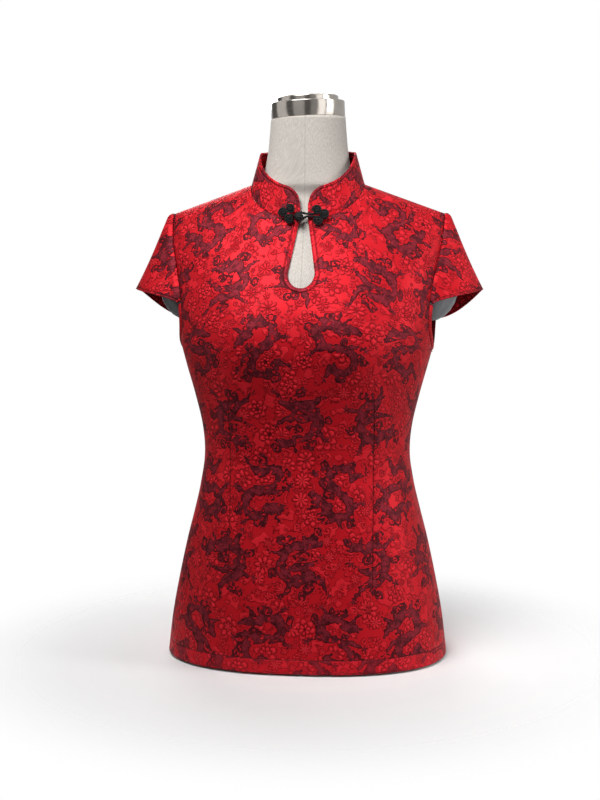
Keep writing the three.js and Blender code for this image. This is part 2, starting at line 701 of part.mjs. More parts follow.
const brocade = { color: 0xb01525, roughness: 0.5, metalness: 0 };
const satinCord = { color: 0x101010, roughness: 0.6, metalness: 0 };
const linen = { color: 0xc9c4c0, roughness: 0.9, metalness: 0 };
const steel = { color: 0xb8b4ae, roughness: 0.2, metalness: 1 };
const plastic = { color: 0x7d8083, roughness: 0.4, metalness: 0 };

const object = new THREE.Group();

function add(name, geometry, finish) {
  const mesh = new THREE.Mesh(geometry, new THREE.MeshStandardMaterial(finish));
  mesh.name = name;
  object.add(mesh);
  return mesh;
}

add('front', panel(FRONT), brocade);
add('back', panel(BACK), brocade);
add('collar', collar(), brocade);
for (const [name, side] of [['left', 1], ['right', -1]]) {
  add(`sleeve_${name}`, sleeve(side), brocade);
  add(`armhole_binding_${name}`, binding(side), brocade);
  add(`arm_plate_${name}`, armPlate(side), plastic);
}
add('frog_button', frogButton(), satinCord);
add('frog_loop', frogLoop(), satinCord);
add('form_torso', torso(), linen);

const cap = add('neck_cap', neckCap(), steel);
cap.position.set(0, NECK_TOP.y, NECK_TOP.z + SEAM_GAP);
cap.rotation.y = -radians(NECK_TOP.tilt);

export default object;
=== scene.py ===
# %% [markdown]
# # A cheongsam top on a dress form
#
# A cheongsam top is a fitted blouse with a standing collar, a keyhole slit, a black frog
# at the throat and small cap sleeves. Here it is worn by a limbless tabletop dress form.
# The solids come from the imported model. Each soft piece is rebuilt around them as a thin
# shell of cloth, with the darts, folds and turned edges that sewing leaves behind.
#
# Every length below is in millimetres until a mesh is written, because that is how a
# pattern cutter works. The front faces -Y and the wearer's left side is at +X.

import math
from collections import namedtuple
from functools import partial, reduce

import bmesh
import bpy
import numpy as np
from mathutils import Matrix, Vector


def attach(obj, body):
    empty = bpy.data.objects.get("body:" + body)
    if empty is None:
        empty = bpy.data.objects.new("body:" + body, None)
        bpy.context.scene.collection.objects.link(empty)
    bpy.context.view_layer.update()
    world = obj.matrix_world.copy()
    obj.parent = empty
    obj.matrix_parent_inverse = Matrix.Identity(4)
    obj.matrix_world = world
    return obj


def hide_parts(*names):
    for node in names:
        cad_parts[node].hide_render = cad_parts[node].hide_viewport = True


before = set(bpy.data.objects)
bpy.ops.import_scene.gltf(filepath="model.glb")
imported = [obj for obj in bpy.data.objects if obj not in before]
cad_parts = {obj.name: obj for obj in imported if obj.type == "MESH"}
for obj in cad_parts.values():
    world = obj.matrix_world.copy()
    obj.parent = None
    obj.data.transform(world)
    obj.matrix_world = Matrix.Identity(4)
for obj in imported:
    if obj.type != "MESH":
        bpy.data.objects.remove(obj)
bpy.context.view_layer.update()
MM = 0.001
print("solids in the frame:", sorted(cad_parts))

# %% [markdown]
# ## One surface for the whole body
#
# The front and the back are cut from one smooth body surface, so that they meet at the
# side and shoulder seams. It could be sculpted, but a table of horizontal sections keeps
# the real measurements readable. Each section is a superellipse, which is an oval that
# can be made squarer, and a smooth curve runs through the table between its rows.

# %% The body's sections
BODY_SECTIONS = np.array([
    # height, half the width, depth of the front, depth of the back
    (3, 183.6, 128, 138),
    (50, 177.8, 128, 136),
    (100, 168.6, 124.5, 128),
    (150, 157.8, 117, 114.5),
    (190, 147.6, 110.5, 103),
    (225, 139.3, 106.5, 93),
    (263, 133.8, 104, 86),
    (300, 136.2, 107, 90),
    (340, 145.1, 113.5, 98),
    (380, 156, 120, 105),
    (410, 163.5, 123, 109),
    (446, 167.5, 117, 112),
    (488, 171, 99.5, 109.5),
    (531, 176, 74.5, 101),
    (565, 177.5, 58.5, 90),
    (590, 178, 51, 80),
    (618, 178, 45, 70),
    (660, 178, 40, 62),
])
HEM_Z, UNDERARM_Z = 3, 397
SIDE_NECK_X, SIDE_NECK_Z = 73, 611
SHOULDER_TIP_X, SHOULDER_TIP_Z = 175, 574
SHOULDER_SEAM_Y = 10
FRONT_NECK_Z, BACK_NECK_Z = 565, 618
SEAM_GAP = 0.3
CLOTH = 1.5
BUST_X, BUST_Z, BUST_CROWN, BUST_WIDE, BUST_TALL = 68, 414, 9, 36, 40
ROUND_AT_NECK, ROUND_AT_TIP = 90, 65


def smooth(low, high, value):
    t = np.clip((value - low) / (high - low), 0, 1)
    return t * t * (3 - 2 * t)


def mix(a, b, t):
    return a + (b - a) * t


def curve(at, value):
    """A smooth curve through the values, as a function that reads numbers or arrays."""
    at, value = np.asarray(at, float), np.asarray(value, float)
    slope = np.gradient(value, at)
    slope[1:-1] = (value[2:] - value[:-2]) / (at[2:] - at[:-2])

    def read(t):
        i = np.clip(np.searchsorted(at, t, side="right") - 1, 0, len(at) - 2)
        span, rise = at[i + 1] - at[i], value[i + 1] - value[i]
        u = np.clip((t - at[i]) / span, 0, 1)
        start, end = slope[i] * span - rise, slope[i + 1] * span - rise
        return value[i] + rise * u + u * (1 - u) * ((1 - u) * start - u * end)

    return read


section_z = BODY_SECTIONS[:, 0]
half_width = curve(section_z, BODY_SECTIONS[:, 1])
Face = namedtuple("Face", "name sign power neck_climb neck_z depth")
FRONT = Face("front", -1, 2.4, 0.6, FRONT_NECK_Z, curve(section_z, BODY_SECTIONS[:, 2]))
BACK = Face("back", 1, 2.8, 1.2, BACK_NECK_Z, curve(section_z, BODY_SECTIONS[:, 3]))
waist = section_z[np.argmin(BODY_SECTIONS[:, 1])]
print(f"narrowest at {waist:g} mm, {2 * half_width(waist):.0f} mm wide")

# %% Points on the body surface
QUARTER = math.pi / 2


def across(face, share, width):
    return width * np.sin(share * QUARTER) ** (2 / face.power)


def share_at(face, x, z):
    return np.arcsin(np.minimum(x / half_width(z), 1) ** (face.power / 2)) / QUARTER


def shoulder_z(face, x):
    slope = (SHOULDER_TIP_Z - SIDE_NECK_Z) / (SHOULDER_TIP_X - SIDE_NECK_X)
    return SIDE_NECK_Z + (x - SIDE_NECK_X) * np.where(x < SIDE_NECK_X, -face.neck_climb, slope)


def shoulder_share(face, x, z, drop=0):
    """How much of the full depth is left at a height, as the section rounds over."""
    height = mix(ROUND_AT_NECK, ROUND_AT_TIP, np.clip(x / SHOULDER_TIP_X, 0, 1))
    below = np.clip((shoulder_z(face, x) - drop - z) / height, 0, 1)
    return np.sqrt(1 - (1 - below) ** 2)


def bust_crown(face, x, z):
    away = ((x - BUST_X) / BUST_WIDE) ** 2 + ((z - BUST_Z) / BUST_TALL) ** 2
    return BUST_CROWN * np.exp(-away / 2) if face is FRONT else 0


def body_point(face, share, z):
    """On the wearer's left: share is 0 at the middle and 1 at the side seam."""
    x = across(face, share, half_width(z))
    round_in = np.cos(share * QUARTER) ** (2 / face.power)
    depth = face.depth(z) * round_in + bust_crown(face, x, z)
    y = mix(SHOULDER_SEAM_Y, face.sign * depth, shoulder_share(face, x, z))
    return np.stack(np.broadcast_arrays(x, y + face.sign * SEAM_GAP / 2, z), axis=-1)


print("bust point:", body_point(FRONT, share_at(FRONT, BUST_X, BUST_Z), BUST_Z).round(1))

# %% [markdown]
# ## The edges of a panel
#
# A panel is bounded by its hem, side seam, armhole, shoulder, neckline and middle line.
# On the front the middle line also runs round the keyhole slit. Each edge is written as
# a place on the body surface, and the inside is filled in straight between them.

# %% The panel's edges
KEYHOLE_TOP_X, KEYHOLE_X, KEYHOLE_Z, KEYHOLE_RISE, KEYHOLE_TURN = 5.2, 16.5, 499, 18, 11
ARMHOLE_TURN = [0, 25, 50, 77, 106, 137, 160, 180]
ARMHOLE_INSET = {
    "front": [0, 0.12, 0.235, 0.252, 0.198, 0.13, 0.112],
    "back": [0, 0.085, 0.148, 0.16, 0.15, 0.137, 0.128],
}
# Where along a panel's width its neckline ends, and how its upper half is shared out
# between plain cloth, the round of the keyhole and the slit above it.
NECK_PART = 7 / 12
PLAIN_PART, ROUND_PART = 3 / 12, 5 / 12
SLIT_TOP_TURN = math.asin(KEYHOLE_TOP_X / SIDE_NECK_X)
# The bend of the top edge fades out down the panel, with this power of the height.
PULL_POWER = 4


def place(face, x, z):
    return np.stack([share_at(face, x, z), z])


def neck_seam(face, turn):
    z = mix(SIDE_NECK_Z, face.neck_z, np.cos(turn))
    return place(face, SIDE_NECK_X * np.sin(turn), z)


def neck_turn(face, along):
    start = SLIT_TOP_TURN if face is FRONT else 0
    return mix(start, QUARTER, np.sin(QUARTER * along))


def top_edge(face, s):
    neck = neck_seam(face, neck_turn(face, np.clip(s / NECK_PART, 0, 1)))
    along = np.clip((s - NECK_PART) / (1 - NECK_PART), 0, 1)
    x = mix(SIDE_NECK_X, SHOULDER_TIP_X, along)
    shoulder = place(face, x, mix(SIDE_NECK_Z, SHOULDER_TIP_Z, along))
    return np.where(s <= NECK_PART, neck, shoulder)


def armhole_seam(face, turn):
    """turn runs from 0 under the arm to 180 degrees at the shoulder tip."""
    tip = 1 - share_at(face, SHOULDER_TIP_X, SHOULDER_TIP_Z)
    inset = curve(ARMHOLE_TURN, [*ARMHOLE_INSET[face.name], tip])(turn)
    rise = (1 - np.cos(np.radians(turn))) / 2
    return np.stack([1 - inset, mix(UNDERARM_Z, SHOULDER_TIP_Z, rise)])


def seam_row(t):
    return mix(HEM_Z, UNDERARM_Z, np.clip(t, 0, 0.5) * 2)


def side_edge(face, t):
    up = np.clip(2 * t - 1, 0, 1)
    seam = np.stack([np.ones_like(t), seam_row(t)])
    return np.where(t <= 0.5, seam, armhole_seam(face, 180 * up))


def middle_edge(face, t):
    up = np.clip(2 * t - 1, 0, 1)
    zero = np.zeros_like(t)
    if face is BACK:
        z = np.where(t <= 0.5, seam_row(t), mix(UNDERARM_Z, BACK_NECK_Z, up))
        return np.stack([zero, z])
    bottom = KEYHOLE_Z - KEYHOLE_RISE
    plain = mix(UNDERARM_Z, bottom, np.clip(up / PLAIN_PART, 0, 1))
    z = np.where(t <= 0.5, seam_row(t), plain)
    turn = np.radians(mix(-90, KEYHOLE_TURN, np.clip((up - PLAIN_PART) / ROUND_PART, 0, 1)))
    slit = np.clip((up - PLAIN_PART - ROUND_PART) / (1 - PLAIN_PART - ROUND_PART), 0, 1)
    top_z = neck_seam(FRONT, SLIT_TOP_TURN)[1]
    round_z = mix(KEYHOLE_Z + KEYHOLE_RISE * np.sin(turn), top_z, slit)
    round_x = mix(KEYHOLE_X * np.cos(turn), KEYHOLE_TOP_X, slit)
    return np.where(up > PLAIN_PART, place(FRONT, round_x, round_z), np.stack([zero, z]))


def panel_place(face, s, t):
    """s runs from the middle line to the side, t from the hem to the shoulder."""
    middle, side = middle_edge(face, t), side_edge(face, t)
    one = np.ones_like(t)
    middle_top, side_top = middle_edge(face, one), side_edge(face, one)
    pull = ((middle[1] - HEM_Z) / (middle_top[1] - HEM_Z)) ** PULL_POWER
    return mix(middle, side, s) + pull * (top_edge(face, s) - mix(middle_top, side_top, s))


shoulder_length = math.hypot(SHOULDER_TIP_X - SIDE_NECK_X, SHOULDER_TIP_Z - SIDE_NECK_Z)
print(f"shoulder seam {shoulder_length:.0f} mm, armhole {SHOULDER_TIP_Z - UNDERARM_Z} mm deep")

# %% [markdown]
# ## From a grid to cloth
#
# Every piece of cloth starts as a flat grid, the way it starts as a flat cut. Its points
# are then moved to their places on the body. The grid also carries a UV map measured
# along the cloth in metres, so that a woven pattern keeps its real size over the curves.
# A few more numbers ride on the points: how far each is from a sewn edge and from a
# dart. They let the material draw a stitch line that is finer than the mesh.

# %% Turn a grid of points into a mesh
MERGE, FINE_MERGE, WALL_EDGE_ANGLE = 0.01, 0.001, 50


def grid_into(bm, points, numbers, uv, flip):
    """Adds a grid to bm. points is rows x columns x 3, numbers maps names to grids."""
    rows, columns = points.shape[:2]
    layers = {name: bm.verts.layers.float.get(name) or bm.verts.layers.float.new(name)
              for name in numbers}
    uv_layer = bm.loops.layers.uv.get("UVMap") or bm.loops.layers.uv.new("UVMap")
    made = bmesh.ops.create_grid(bm, x_segments=columns - 1, y_segments=rows - 1, size=1)
    where = {}
    for vert in made["verts"]:
        i = round((vert.co.x + 1) / 2 * (columns - 1))
        j = round((vert.co.y + 1) / 2 * (rows - 1))
        where[vert] = (j, i)
        vert.co = Vector(points[j, i] * MM)
        for name, layer in layers.items():
            vert[layer] = numbers[name][j, i]
    faces = list({face for vert in made["verts"] for face in vert.link_faces})
    for face in faces:
        for loop in face.loops:
            loop[uv_layer].uv = uv[where[loop.vert]] * MM
    if flip:
        bmesh.ops.reverse_faces(bm, faces=faces)


def finish_piece(bm, name, material, solid, merge=MERGE):
    """Writes the mesh with its material, and hides the solid that it stands for."""
    bmesh.ops.remove_doubles(bm, verts=bm.verts, dist=merge * MM)
    mesh = bpy.data.meshes.new(name)
    bm.to_mesh(mesh)
    bm.free()
    mesh.shade_smooth()
    mesh.materials.append(material)
    piece = bpy.data.objects.new(name, mesh)
    bpy.context.scene.collection.objects.link(piece)
    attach(piece, "root")
    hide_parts(solid)
    print(name, len(mesh.polygons), "faces")
    return piece


def surface_normals(points):
    along, up = np.gradient(points, axis=1), np.gradient(points, axis=0)
    normal = np.cross(along, up)
    return normal / np.maximum(np.linalg.norm(normal, axis=-1, keepdims=True), 1e-9)


def unit(vectors):
    return vectors / np.linalg.norm(vectors, axis=-1, keepdims=True)


def lengths_along(points, axis):
    """How far along the cloth each point is from the first one in its row or column."""
    step = np.linalg.norm(np.diff(points, axis=axis), axis=-1)
    before = [(0, 0), (0, 0)]
    before[axis] = (1, 0)
    return np.cumsum(np.pad(step, before), axis=axis)


def distance_to(points, line):
    """The distance from each point of a grid to the nearest point of a line."""
    gap = points[..., None, :] - np.asarray(line)
    return np.sqrt((gap ** 2).sum(axis=-1).min(axis=-1))


def shell(piece, thickness, rounding=0):
    wall = piece.modifiers.new("wall", "SOLIDIFY")
    wall.thickness = thickness * MM
    wall.offset = -1
    if rounding:
        edge = piece.modifiers.new("edge", "BEVEL")
        edge.width = rounding * MM
        edge.segments = 2
        edge.limit_method = "ANGLE"
        edge.angle_limit = math.radians(WALL_EDGE_ANGLE)


near = distance_to(np.zeros((1, 1, 3)), [(3, 4, 0)])
print(f"a point 3 across and 4 up is {near[0, 0]:g} mm away")

# %% [markdown]
# ## Finishes
#
# The colours are written as the hex values a designer would use on screen. Blender mixes
# light in linear values, so one function turns them over. A second small function adds a
# node, sets it up and wires it, which keeps each material a short readable list.

# %% Helpers for materials
NODE_MENUS = ("operation", "interpolation_type", "blend_type", "rotation_type", "feature")


def colour(code):
    def linear(part):
        value = int(part, 16) / 255
        return value / 12.92 if value <= 0.04045 else ((value + 0.055) / 1.055) ** 2.4
    return (linear(code[1:3]), linear(code[3:5]), linear(code[5:7]), 1)


def add_node(tree, kind, *links, out=0, **settings):
    """Adds a node and gives back one of its outputs, or all of them where out is None.

    kind is the node's name and, after a dot, the choice in its menu. links fill the
    inputs in order: a socket is wired, a value is set, and a None leaves one as it is.
    A settings name that the node has is set on it, and any other is an input's name.
    """
    kind, _, choice = kind.partition(".")
    made = tree.nodes.new("ShaderNode" + kind)
    for menu in NODE_MENUS:
        if choice and hasattr(made, menu):
            setattr(made, menu, choice)
    inputs = {}
    for name, value in settings.items():
        if hasattr(made, name):
            setattr(made, name, value)
        else:
            inputs[name.replace("_", " ")] = value
    for i, value in [*enumerate(links), *inputs.items()]:
        if isinstance(value, bpy.types.NodeSocket):
            tree.links.new(value, made.inputs[i])
        elif value is not None:
            made.inputs[i].default_value = value
    return made.outputs[out] if made.outputs and out is not None else made.outputs


def new_material(name):
    """An empty material, and add_node bound to its node tree."""
    material = bpy.data.materials.new(name)
    material.use_nodes = True
    material.node_tree.nodes.clear()
    return material, partial(add_node, material.node_tree)


print("middle grey in linear light:", round(colour("#808080")[0], 3))


# %% [markdown]
# ## Brocade
#
# Brocade is a silk or rayon satin with figures woven in by extra threads. The ground is
# smooth and has a soft sheen, the flowers are in the same red but catch more light, and
# the coiled beasts are in a dark maroon thread with a pebbled weave. Here the figures
# are drawn with distances: each stroke of the design is a rounded line, and whatever is
# nearer to a line than its half width is figure. The design is charted for this cloth,
# on a half-drop repeat, and turned over in every other place so that it doesn't march.

# %% The chart of the coiled beasts
# One repeat is a brick of this size, and every second row is shifted by half a brick.
REPEAT_WIDTH, REPEAT_HEIGHT = 94.0, 92.0
Arc = namedtuple("Arc", "centre radius middle reach half")
Stroke = namedtuple("Stroke", "start end half_start half_end")
Beast = namedtuple("Beast", "arcs strokes claws curls")
WINDING_BEAST = Beast(
    arcs=[Arc((-5, 15), 14, 145, 125, 5.4), Arc((3, -16), 13, -35, 125, 5.0)],
    strokes=[
        Stroke((-8, -20), (-21, -30), 4.6, 2.0), Stroke((8, 21), (19, 17), 5.0, 5.8),
        Stroke((19, 17), (28, 12), 5.4, 2.6), Stroke((15, 23), (26, 31), 2.6, 1.2),
        Stroke((-18, 10), (-30, 2), 4.0, 1.8), Stroke((0, 0), (18, -1), 4.8, 3.4),
        Stroke((18, -1), (30, -9), 3.0, 1.4), Stroke((-8, 29), (-16, 38), 3.2, 1.4),
    ],
    claws=[(-33, 0), (32, -11), (-24, -33), (-19, 41)],
    curls=[(-22, 21), (-26, 28), (-1, 36), (7, 34), (22, -18), (26, -25), (-4, -36), (10, 6)],
)
OPEN_BEAST = Beast(
    arcs=[Arc((0, 3), 20, 178, 112, 5.6)],
    strokes=[
        Stroke((8, 21), (21, 25), 5.4, 5.8), Stroke((21, 25), (30, 20), 5.0, 2.2),
        Stroke((14, 25), (13, 37), 2.8, 1.2), Stroke((8, -16), (19, -24), 5.0, 3.4),
        Stroke((19, -24), (23, -35), 3.2, 1.4), Stroke((-17, -1), (6, -5), 5.4, 4.8),
        Stroke((6, -5), (23, 2), 4.4, 2.0), Stroke((-13, -14), (-26, -22), 4.2, 1.6),
        Stroke((-15, 16), (-25, 26), 3.8, 1.6),
    ],
    claws=[(27, 5), (25, -39), (-30, -24), (-28, 29)],
    curls=[(-3, 31), (-11, 33), (1, 9), (9, 10), (3, -27), (-5, -32), (-31, 4), (31, 30)],
)
CURL_RADIUS, CURL_LINE, CURL_HEART = 4.2, 1.25, 1.3
CLAW_SIZE, CLAW_DEPTH, CLAW_SPIKES = 4.6, 0.4, 5
BODY_BLEND = 2.0
stroke_count = sum(len(beast.arcs) + len(beast.strokes) for beast in (WINDING_BEAST, OPEN_BEAST))
print(f"two beasts in {stroke_count} strokes, on a repeat of {REPEAT_WIDTH:g} x {REPEAT_HEIGHT:g} mm")

# %% Distances to the chart's strokes


def stroke_distance(node, place, stroke):
    """Distance to a straight stroke that tapers from one end to the other."""
    run = Vector(stroke.end) - Vector(stroke.start)
    away = node("VectorMath.SUBTRACT", place, (*stroke.start, 0))
    share = (*(run / run.length_squared), 0)
    along = node("Clamp", node("VectorMath.DOT_PRODUCT", away, share, out="Value"))
    rest = node("VectorMath.SUBTRACT", away, node("VectorMath.SCALE", (*run, 0), Scale=along))
    half = node("Math.MULTIPLY_ADD", along, stroke.half_end - stroke.half_start, stroke.half_start)
    return node("Math.SUBTRACT", node("VectorMath.LENGTH", rest, out="Value"), half)


def arc_distance(node, place, arc):
    """Distance to an arc: turned so that its middle points along +Y, then folded."""
    away = node("VectorMath.SUBTRACT", place, (*arc.centre, 0))
    flat = node("VectorRotate.Z_AXIS", away, Angle=math.radians(90 - arc.middle))
    x, y, _ = node("SeparateXYZ", flat, out=None)
    side = node("Math.ABSOLUTE", x)
    reach = math.radians(arc.reach)
    # Past the arc's end the nearest point is the end itself.
    beyond = node("Math.SUBTRACT", node("Math.MULTIPLY", side, math.cos(reach)),
                  node("Math.MULTIPLY", y, math.sin(reach)))
    tip = (arc.radius * math.sin(reach), arc.radius * math.cos(reach), 0)
    from_tip = node("VectorMath.SUBTRACT", node("CombineXYZ", side, y), tip)
    to_tip = node("VectorMath.LENGTH", from_tip, out="Value")
    middle = node("VectorMath.LENGTH", flat, out="Value")
    to_ring = node("Math.ABSOLUTE", node("Math.SUBTRACT", middle, arc.radius))
    past = node("Math.GREATER_THAN", beyond, 0)
    nearest = node("Mix", past, None, to_ring, to_tip)
    return node("Math.SUBTRACT", nearest, arc.half)


def curl_distance(node, place, centre):
    """A ring of thread with a dot in it."""
    away = node("VectorMath.LENGTH", node("VectorMath.SUBTRACT", place, (*centre, 0)), out="Value")
    ring = node("Math.ABSOLUTE", node("Math.SUBTRACT", away, CURL_RADIUS))
    thread = node("Math.SUBTRACT", ring, CURL_LINE)
    return node("Math.MINIMUM", thread, node("Math.SUBTRACT", away, CURL_HEART))


def claw_distance(node, place, centre):
    """A star of spikes."""
    away = node("VectorMath.SUBTRACT", place, (*centre, 0))
    x, y, _ = node("SeparateXYZ", away, out=None)
    turn = node("Math.MULTIPLY", node("Math.ARCTAN2", y, x), CLAW_SPIKES)
    spike = node("Math.MULTIPLY_ADD", node("Math.COSINE", turn), CLAW_SIZE * CLAW_DEPTH,
                 CLAW_SIZE * (1 - CLAW_DEPTH))
    return node("Math.SUBTRACT", node("VectorMath.LENGTH", away, out="Value"), spike)


def beast_distance(node, place, beast):
    """The body's strokes melt into each other, and claws and curls stay sharp."""
    body = [arc_distance(node, place, arc) for arc in beast.arcs]
    body += [stroke_distance(node, place, stroke) for stroke in beast.strokes]
    small = [claw_distance(node, place, claw) for claw in beast.claws]
    small += [curl_distance(node, place, curl) for curl in beast.curls]
    nearest = reduce(lambda a, b: node("Math.SMOOTH_MIN", a, b, BODY_BLEND), body)
    return reduce(lambda a, b: node("Math.MINIMUM", a, b), [nearest, *small])


# %% The half-drop repeat
BEAST_SIZE, LEAN_OF_BEAST = 1.08, 0.35
LEAN_BY_COLUMN, LEAN_BY_ROW = 2.3, 4.1


def beasts_in_repeat(node, cloth):
    """The distance in millimetres from a place on the cloth to the nearest beast."""
    u, v, _ = node("SeparateXYZ", cloth, out=None)
    row = node("Math.FLOOR", node("Math.DIVIDE", v, REPEAT_HEIGHT))
    odd_row = node("Math.FLOORED_MODULO", row, 2)
    shifted = node("Math.MULTIPLY_ADD", odd_row, REPEAT_WIDTH / 2, u)
    column = node("Math.FLOOR", node("Math.DIVIDE", shifted, REPEAT_WIDTH))
    middle_x = node("Math.MULTIPLY_ADD", column, REPEAT_WIDTH, REPEAT_WIDTH / 2)
    x = node("Math.SUBTRACT", shifted, middle_x)
    middle_y = node("Math.MULTIPLY_ADD", row, REPEAT_HEIGHT, REPEAT_HEIGHT / 2)
    y = node("Math.SUBTRACT", v, middle_y)
    # Beasts face one way or the other and lean a little, each in its own way.
    pair = node("Math.FLOOR", node("Math.MULTIPLY", row, 0.5))
    odd_place = node("Math.FLOORED_MODULO", node("Math.ADD", column, pair), 2)
    facing = node("Math.MULTIPLY_ADD", odd_place, -2, 1)
    upright = node("Math.MULTIPLY_ADD", node("Math.FLOORED_MODULO", pair, 2), -2, 1)
    by_row = node("Math.MULTIPLY", row, LEAN_BY_ROW)
    lean = node("Math.SINE", node("Math.MULTIPLY_ADD", column, LEAN_BY_COLUMN, by_row))
    placed = node("CombineXYZ", node("Math.MULTIPLY", x, facing), node("Math.MULTIPLY", y, upright))
    placed = node("VectorMath.SCALE", placed, Scale=1 / BEAST_SIZE)
    leaning = node("VectorRotate.Z_AXIS", placed, Angle=node("Math.MULTIPLY", lean, LEAN_OF_BEAST))
    return node("Mix", odd_row, None, beast_distance(node, leaning, WINDING_BEAST),
                beast_distance(node, leaning, OPEN_BEAST))


# %% [markdown]
# ## Flowers, buds, curls and leaves
#
# Between the beasts the red ground is full of self-coloured flowers that show by their
# relief and their dark outlines, which are partly painted shade. They could be charted one
# by one. They are strewn here over the cells of a Voronoi pattern instead, which gives
# every flower its own size, turn and number of petals. Leaves are the high places of a slow
# noise, so they fill the rest.

# %% Flowers in the ground
FLOWER_SPACING, BUD_SPACING, LEAF_SPACING = 27.0, 11.5, 15.0
FLOWER_RING, INNER_RING, BUD_RING = 9.2, 4.9, 3.1
FLOWER_PETALS, INNER_PETALS, BUD_PETALS = (7, 2.9), 6, (5, 1.9)
PETAL_NARROWING, PETAL_FILL = 0.9, 0.88
STREWN_DISORDER, LEAST_SIZE, SIZE_SPAN = 0.75, 0.82, 0.4
HEART_SIZE, CURL_THREAD, CURL_OPENING, CURL_SHARE = 2.4, 0.95, 2.1, 0.45
LEAF_LEVEL, LEAF_SLOPE = 0.53, 1.8


def petals_distance(node, radius, turn, count, ring):
    """Distance to a ring of round petals, by folding the circle into one petal's slice."""
    slices = node("Math.DIVIDE", node("Math.MULTIPLY", turn, count), 2 * math.pi)
    share = node("Math.FRACT", slices)
    angle = node("Math.DIVIDE", node("Math.MULTIPLY_ADD", share, 2 * math.pi, -math.pi), count)
    x = node("Math.MULTIPLY", radius, node("Math.COSINE", angle))
    y = node("Math.MULTIPLY", radius, node("Math.SINE", angle))
    # A petal is a little longer than it is wide.
    outwards = node("Math.MULTIPLY", node("Math.SUBTRACT", x, ring), PETAL_NARROWING)
    spot = node("CombineXYZ", outwards, y)
    half_slice = node("Math.SINE", node("Math.DIVIDE", math.pi, count))
    half = node("Math.MULTIPLY", half_slice, ring * PETAL_FILL)
    return node("Math.SUBTRACT", node("VectorMath.LENGTH", spot, out="Value"), half)


def blossoms(node, cloth, spacing, offset, ring, petals):
    """Distance to the outer petals of strewn flowers, the place in a flower, and its lot.

    petals is the fewest that a flower has, and how many more it may have by its lot.
    """
    fewest, spread = petals
    moved = node("VectorMath.ADD", cloth, offset)
    cells = node("TexVoronoi", moved, Scale=1 / spacing, Randomness=STREWN_DISORDER, out=None)
    away = node("VectorMath.SUBTRACT", moved, cells["Position"])
    chance, other, third = node("SeparateColor", cells["Color"], out=None)
    size = node("Math.MULTIPLY_ADD", other, SIZE_SPAN, LEAST_SIZE)
    radius = node("Math.MULTIPLY", node("VectorMath.LENGTH", away, out="Value"), size)
    x, y, _ = node("SeparateXYZ", away, out=None)
    turn = node("Math.MULTIPLY_ADD", chance, 2 * math.pi, node("Math.ARCTAN2", y, x))
    count = node("Math.FLOOR", node("Math.MULTIPLY_ADD", third, spread, fewest))
    return petals_distance(node, radius, turn, count, ring), radius, turn, chance


def open_curl(node, radius, turn):
    """Distance to a ring of raised thread that is open on one side and has a dot in it."""
    ring = node("Math.ABSOLUTE", node("Math.SUBTRACT", radius, BUD_RING))
    ahead = node("Math.MULTIPLY", radius, node("Math.COSINE", turn))
    thread = node("Math.SUBTRACT", ring, CURL_THREAD)
    bent = node("Math.MAXIMUM", thread, node("Math.SUBTRACT", ahead, CURL_OPENING))
    return node("Math.MINIMUM", bent, node("Math.SUBTRACT", radius, CURL_THREAD))


def leaf_distance(node, cloth):
    """About the distance to rounded leaves, which lie where a slow noise is high."""
    noise = node("TexNoise", cloth, Scale=1 / LEAF_SPACING, Detail=1.0)
    return node("Math.MULTIPLY", node("Math.SUBTRACT", LEAF_LEVEL, noise), LEAF_SPACING * LEAF_SLOPE)


def behind_of(node, under, over, gap):
    """Cuts the lower figure back so that a gap of ground shows round the upper one."""
    return node("Math.MINIMUM", over, node("Math.MAXIMUM", under, node("Math.SUBTRACT", gap, over)))


print(f"a flower about every {FLOWER_SPACING:g} mm, a bud about every {BUD_SPACING:g} mm")

# %% [markdown]
# ## From distances to threads
#
# A weaver's chart says which thread lies on top at each crossing. Here every kind of
# figure has a distance that is below zero inside it, and each distance becomes a mask: 1
# on the figure, 0 off it, with a soft edge under a millimetre wide. The masks then choose
# the thread's colour, its height and its gloss. It all follows the UV map, which is
# measured along the cloth, so the pattern keeps its size and isn't printed on from afar.

# %% Where the pattern lies on the cloth
# Cloth without a hem has a 0 here, so only what is below that counts as turned up.
HEM_PATTERN_SHIFT, BELOW_HEM_LINE = (37, 21, 0), -0.01


def place_on_cloth(node):
    """The place in the pattern, in millimetres, and the two numbers that draw a dart."""
    cloth = node("VectorMath.SCALE", node("UVMap", uv_map="UVMap"), Scale=1000)
    # Past a dart the pattern goes on with the cloth that the dart has folded away left out.
    dart = node("Attribute", attribute_name="dart", out="Fac")
    intake = node("Attribute", attribute_name="intake", out="Fac")
    past_dart = node("Math.MULTIPLY", node("Math.GREATER_THAN", dart, 0), intake)
    cloth = node("VectorMath.ADD", cloth, node("CombineXYZ", past_dart))
    # The cloth turned up at the hem shows another part of the pattern.
    hem = node("Math.LESS_THAN", node("Attribute", attribute_name="hem", out="Fac"), BELOW_HEM_LINE)
    cloth = node("VectorMath.ADD", cloth, node("VectorMath.SCALE", HEM_PATTERN_SHIFT, Scale=hem))
    return cloth, dart, intake


# %% The figures' distances
NOISE_MIDDLE = (0.5, 0.5, 0.5)
SWAY_SPACING, SWAY_REACH, WAVER_SPACING, WAVER_REACH = 34, 17, 4.5, 2.3
SCALLOP_SPACING, SCALLOP_DEPTH, SCALLOP_IN = 5, 3.7, 2.35
GAP_SPACING, GAP_SLOPE, GAP_IN = 7, 36, 23.2
INNER_GAP, BUD_GAP = 0.8, 0.9
FLOWER_OFFSET, BUD_OFFSET = (0, 0, 0), (7, 3, 0)
Figures = namedtuple("Figures", "beast flower from_flower small")


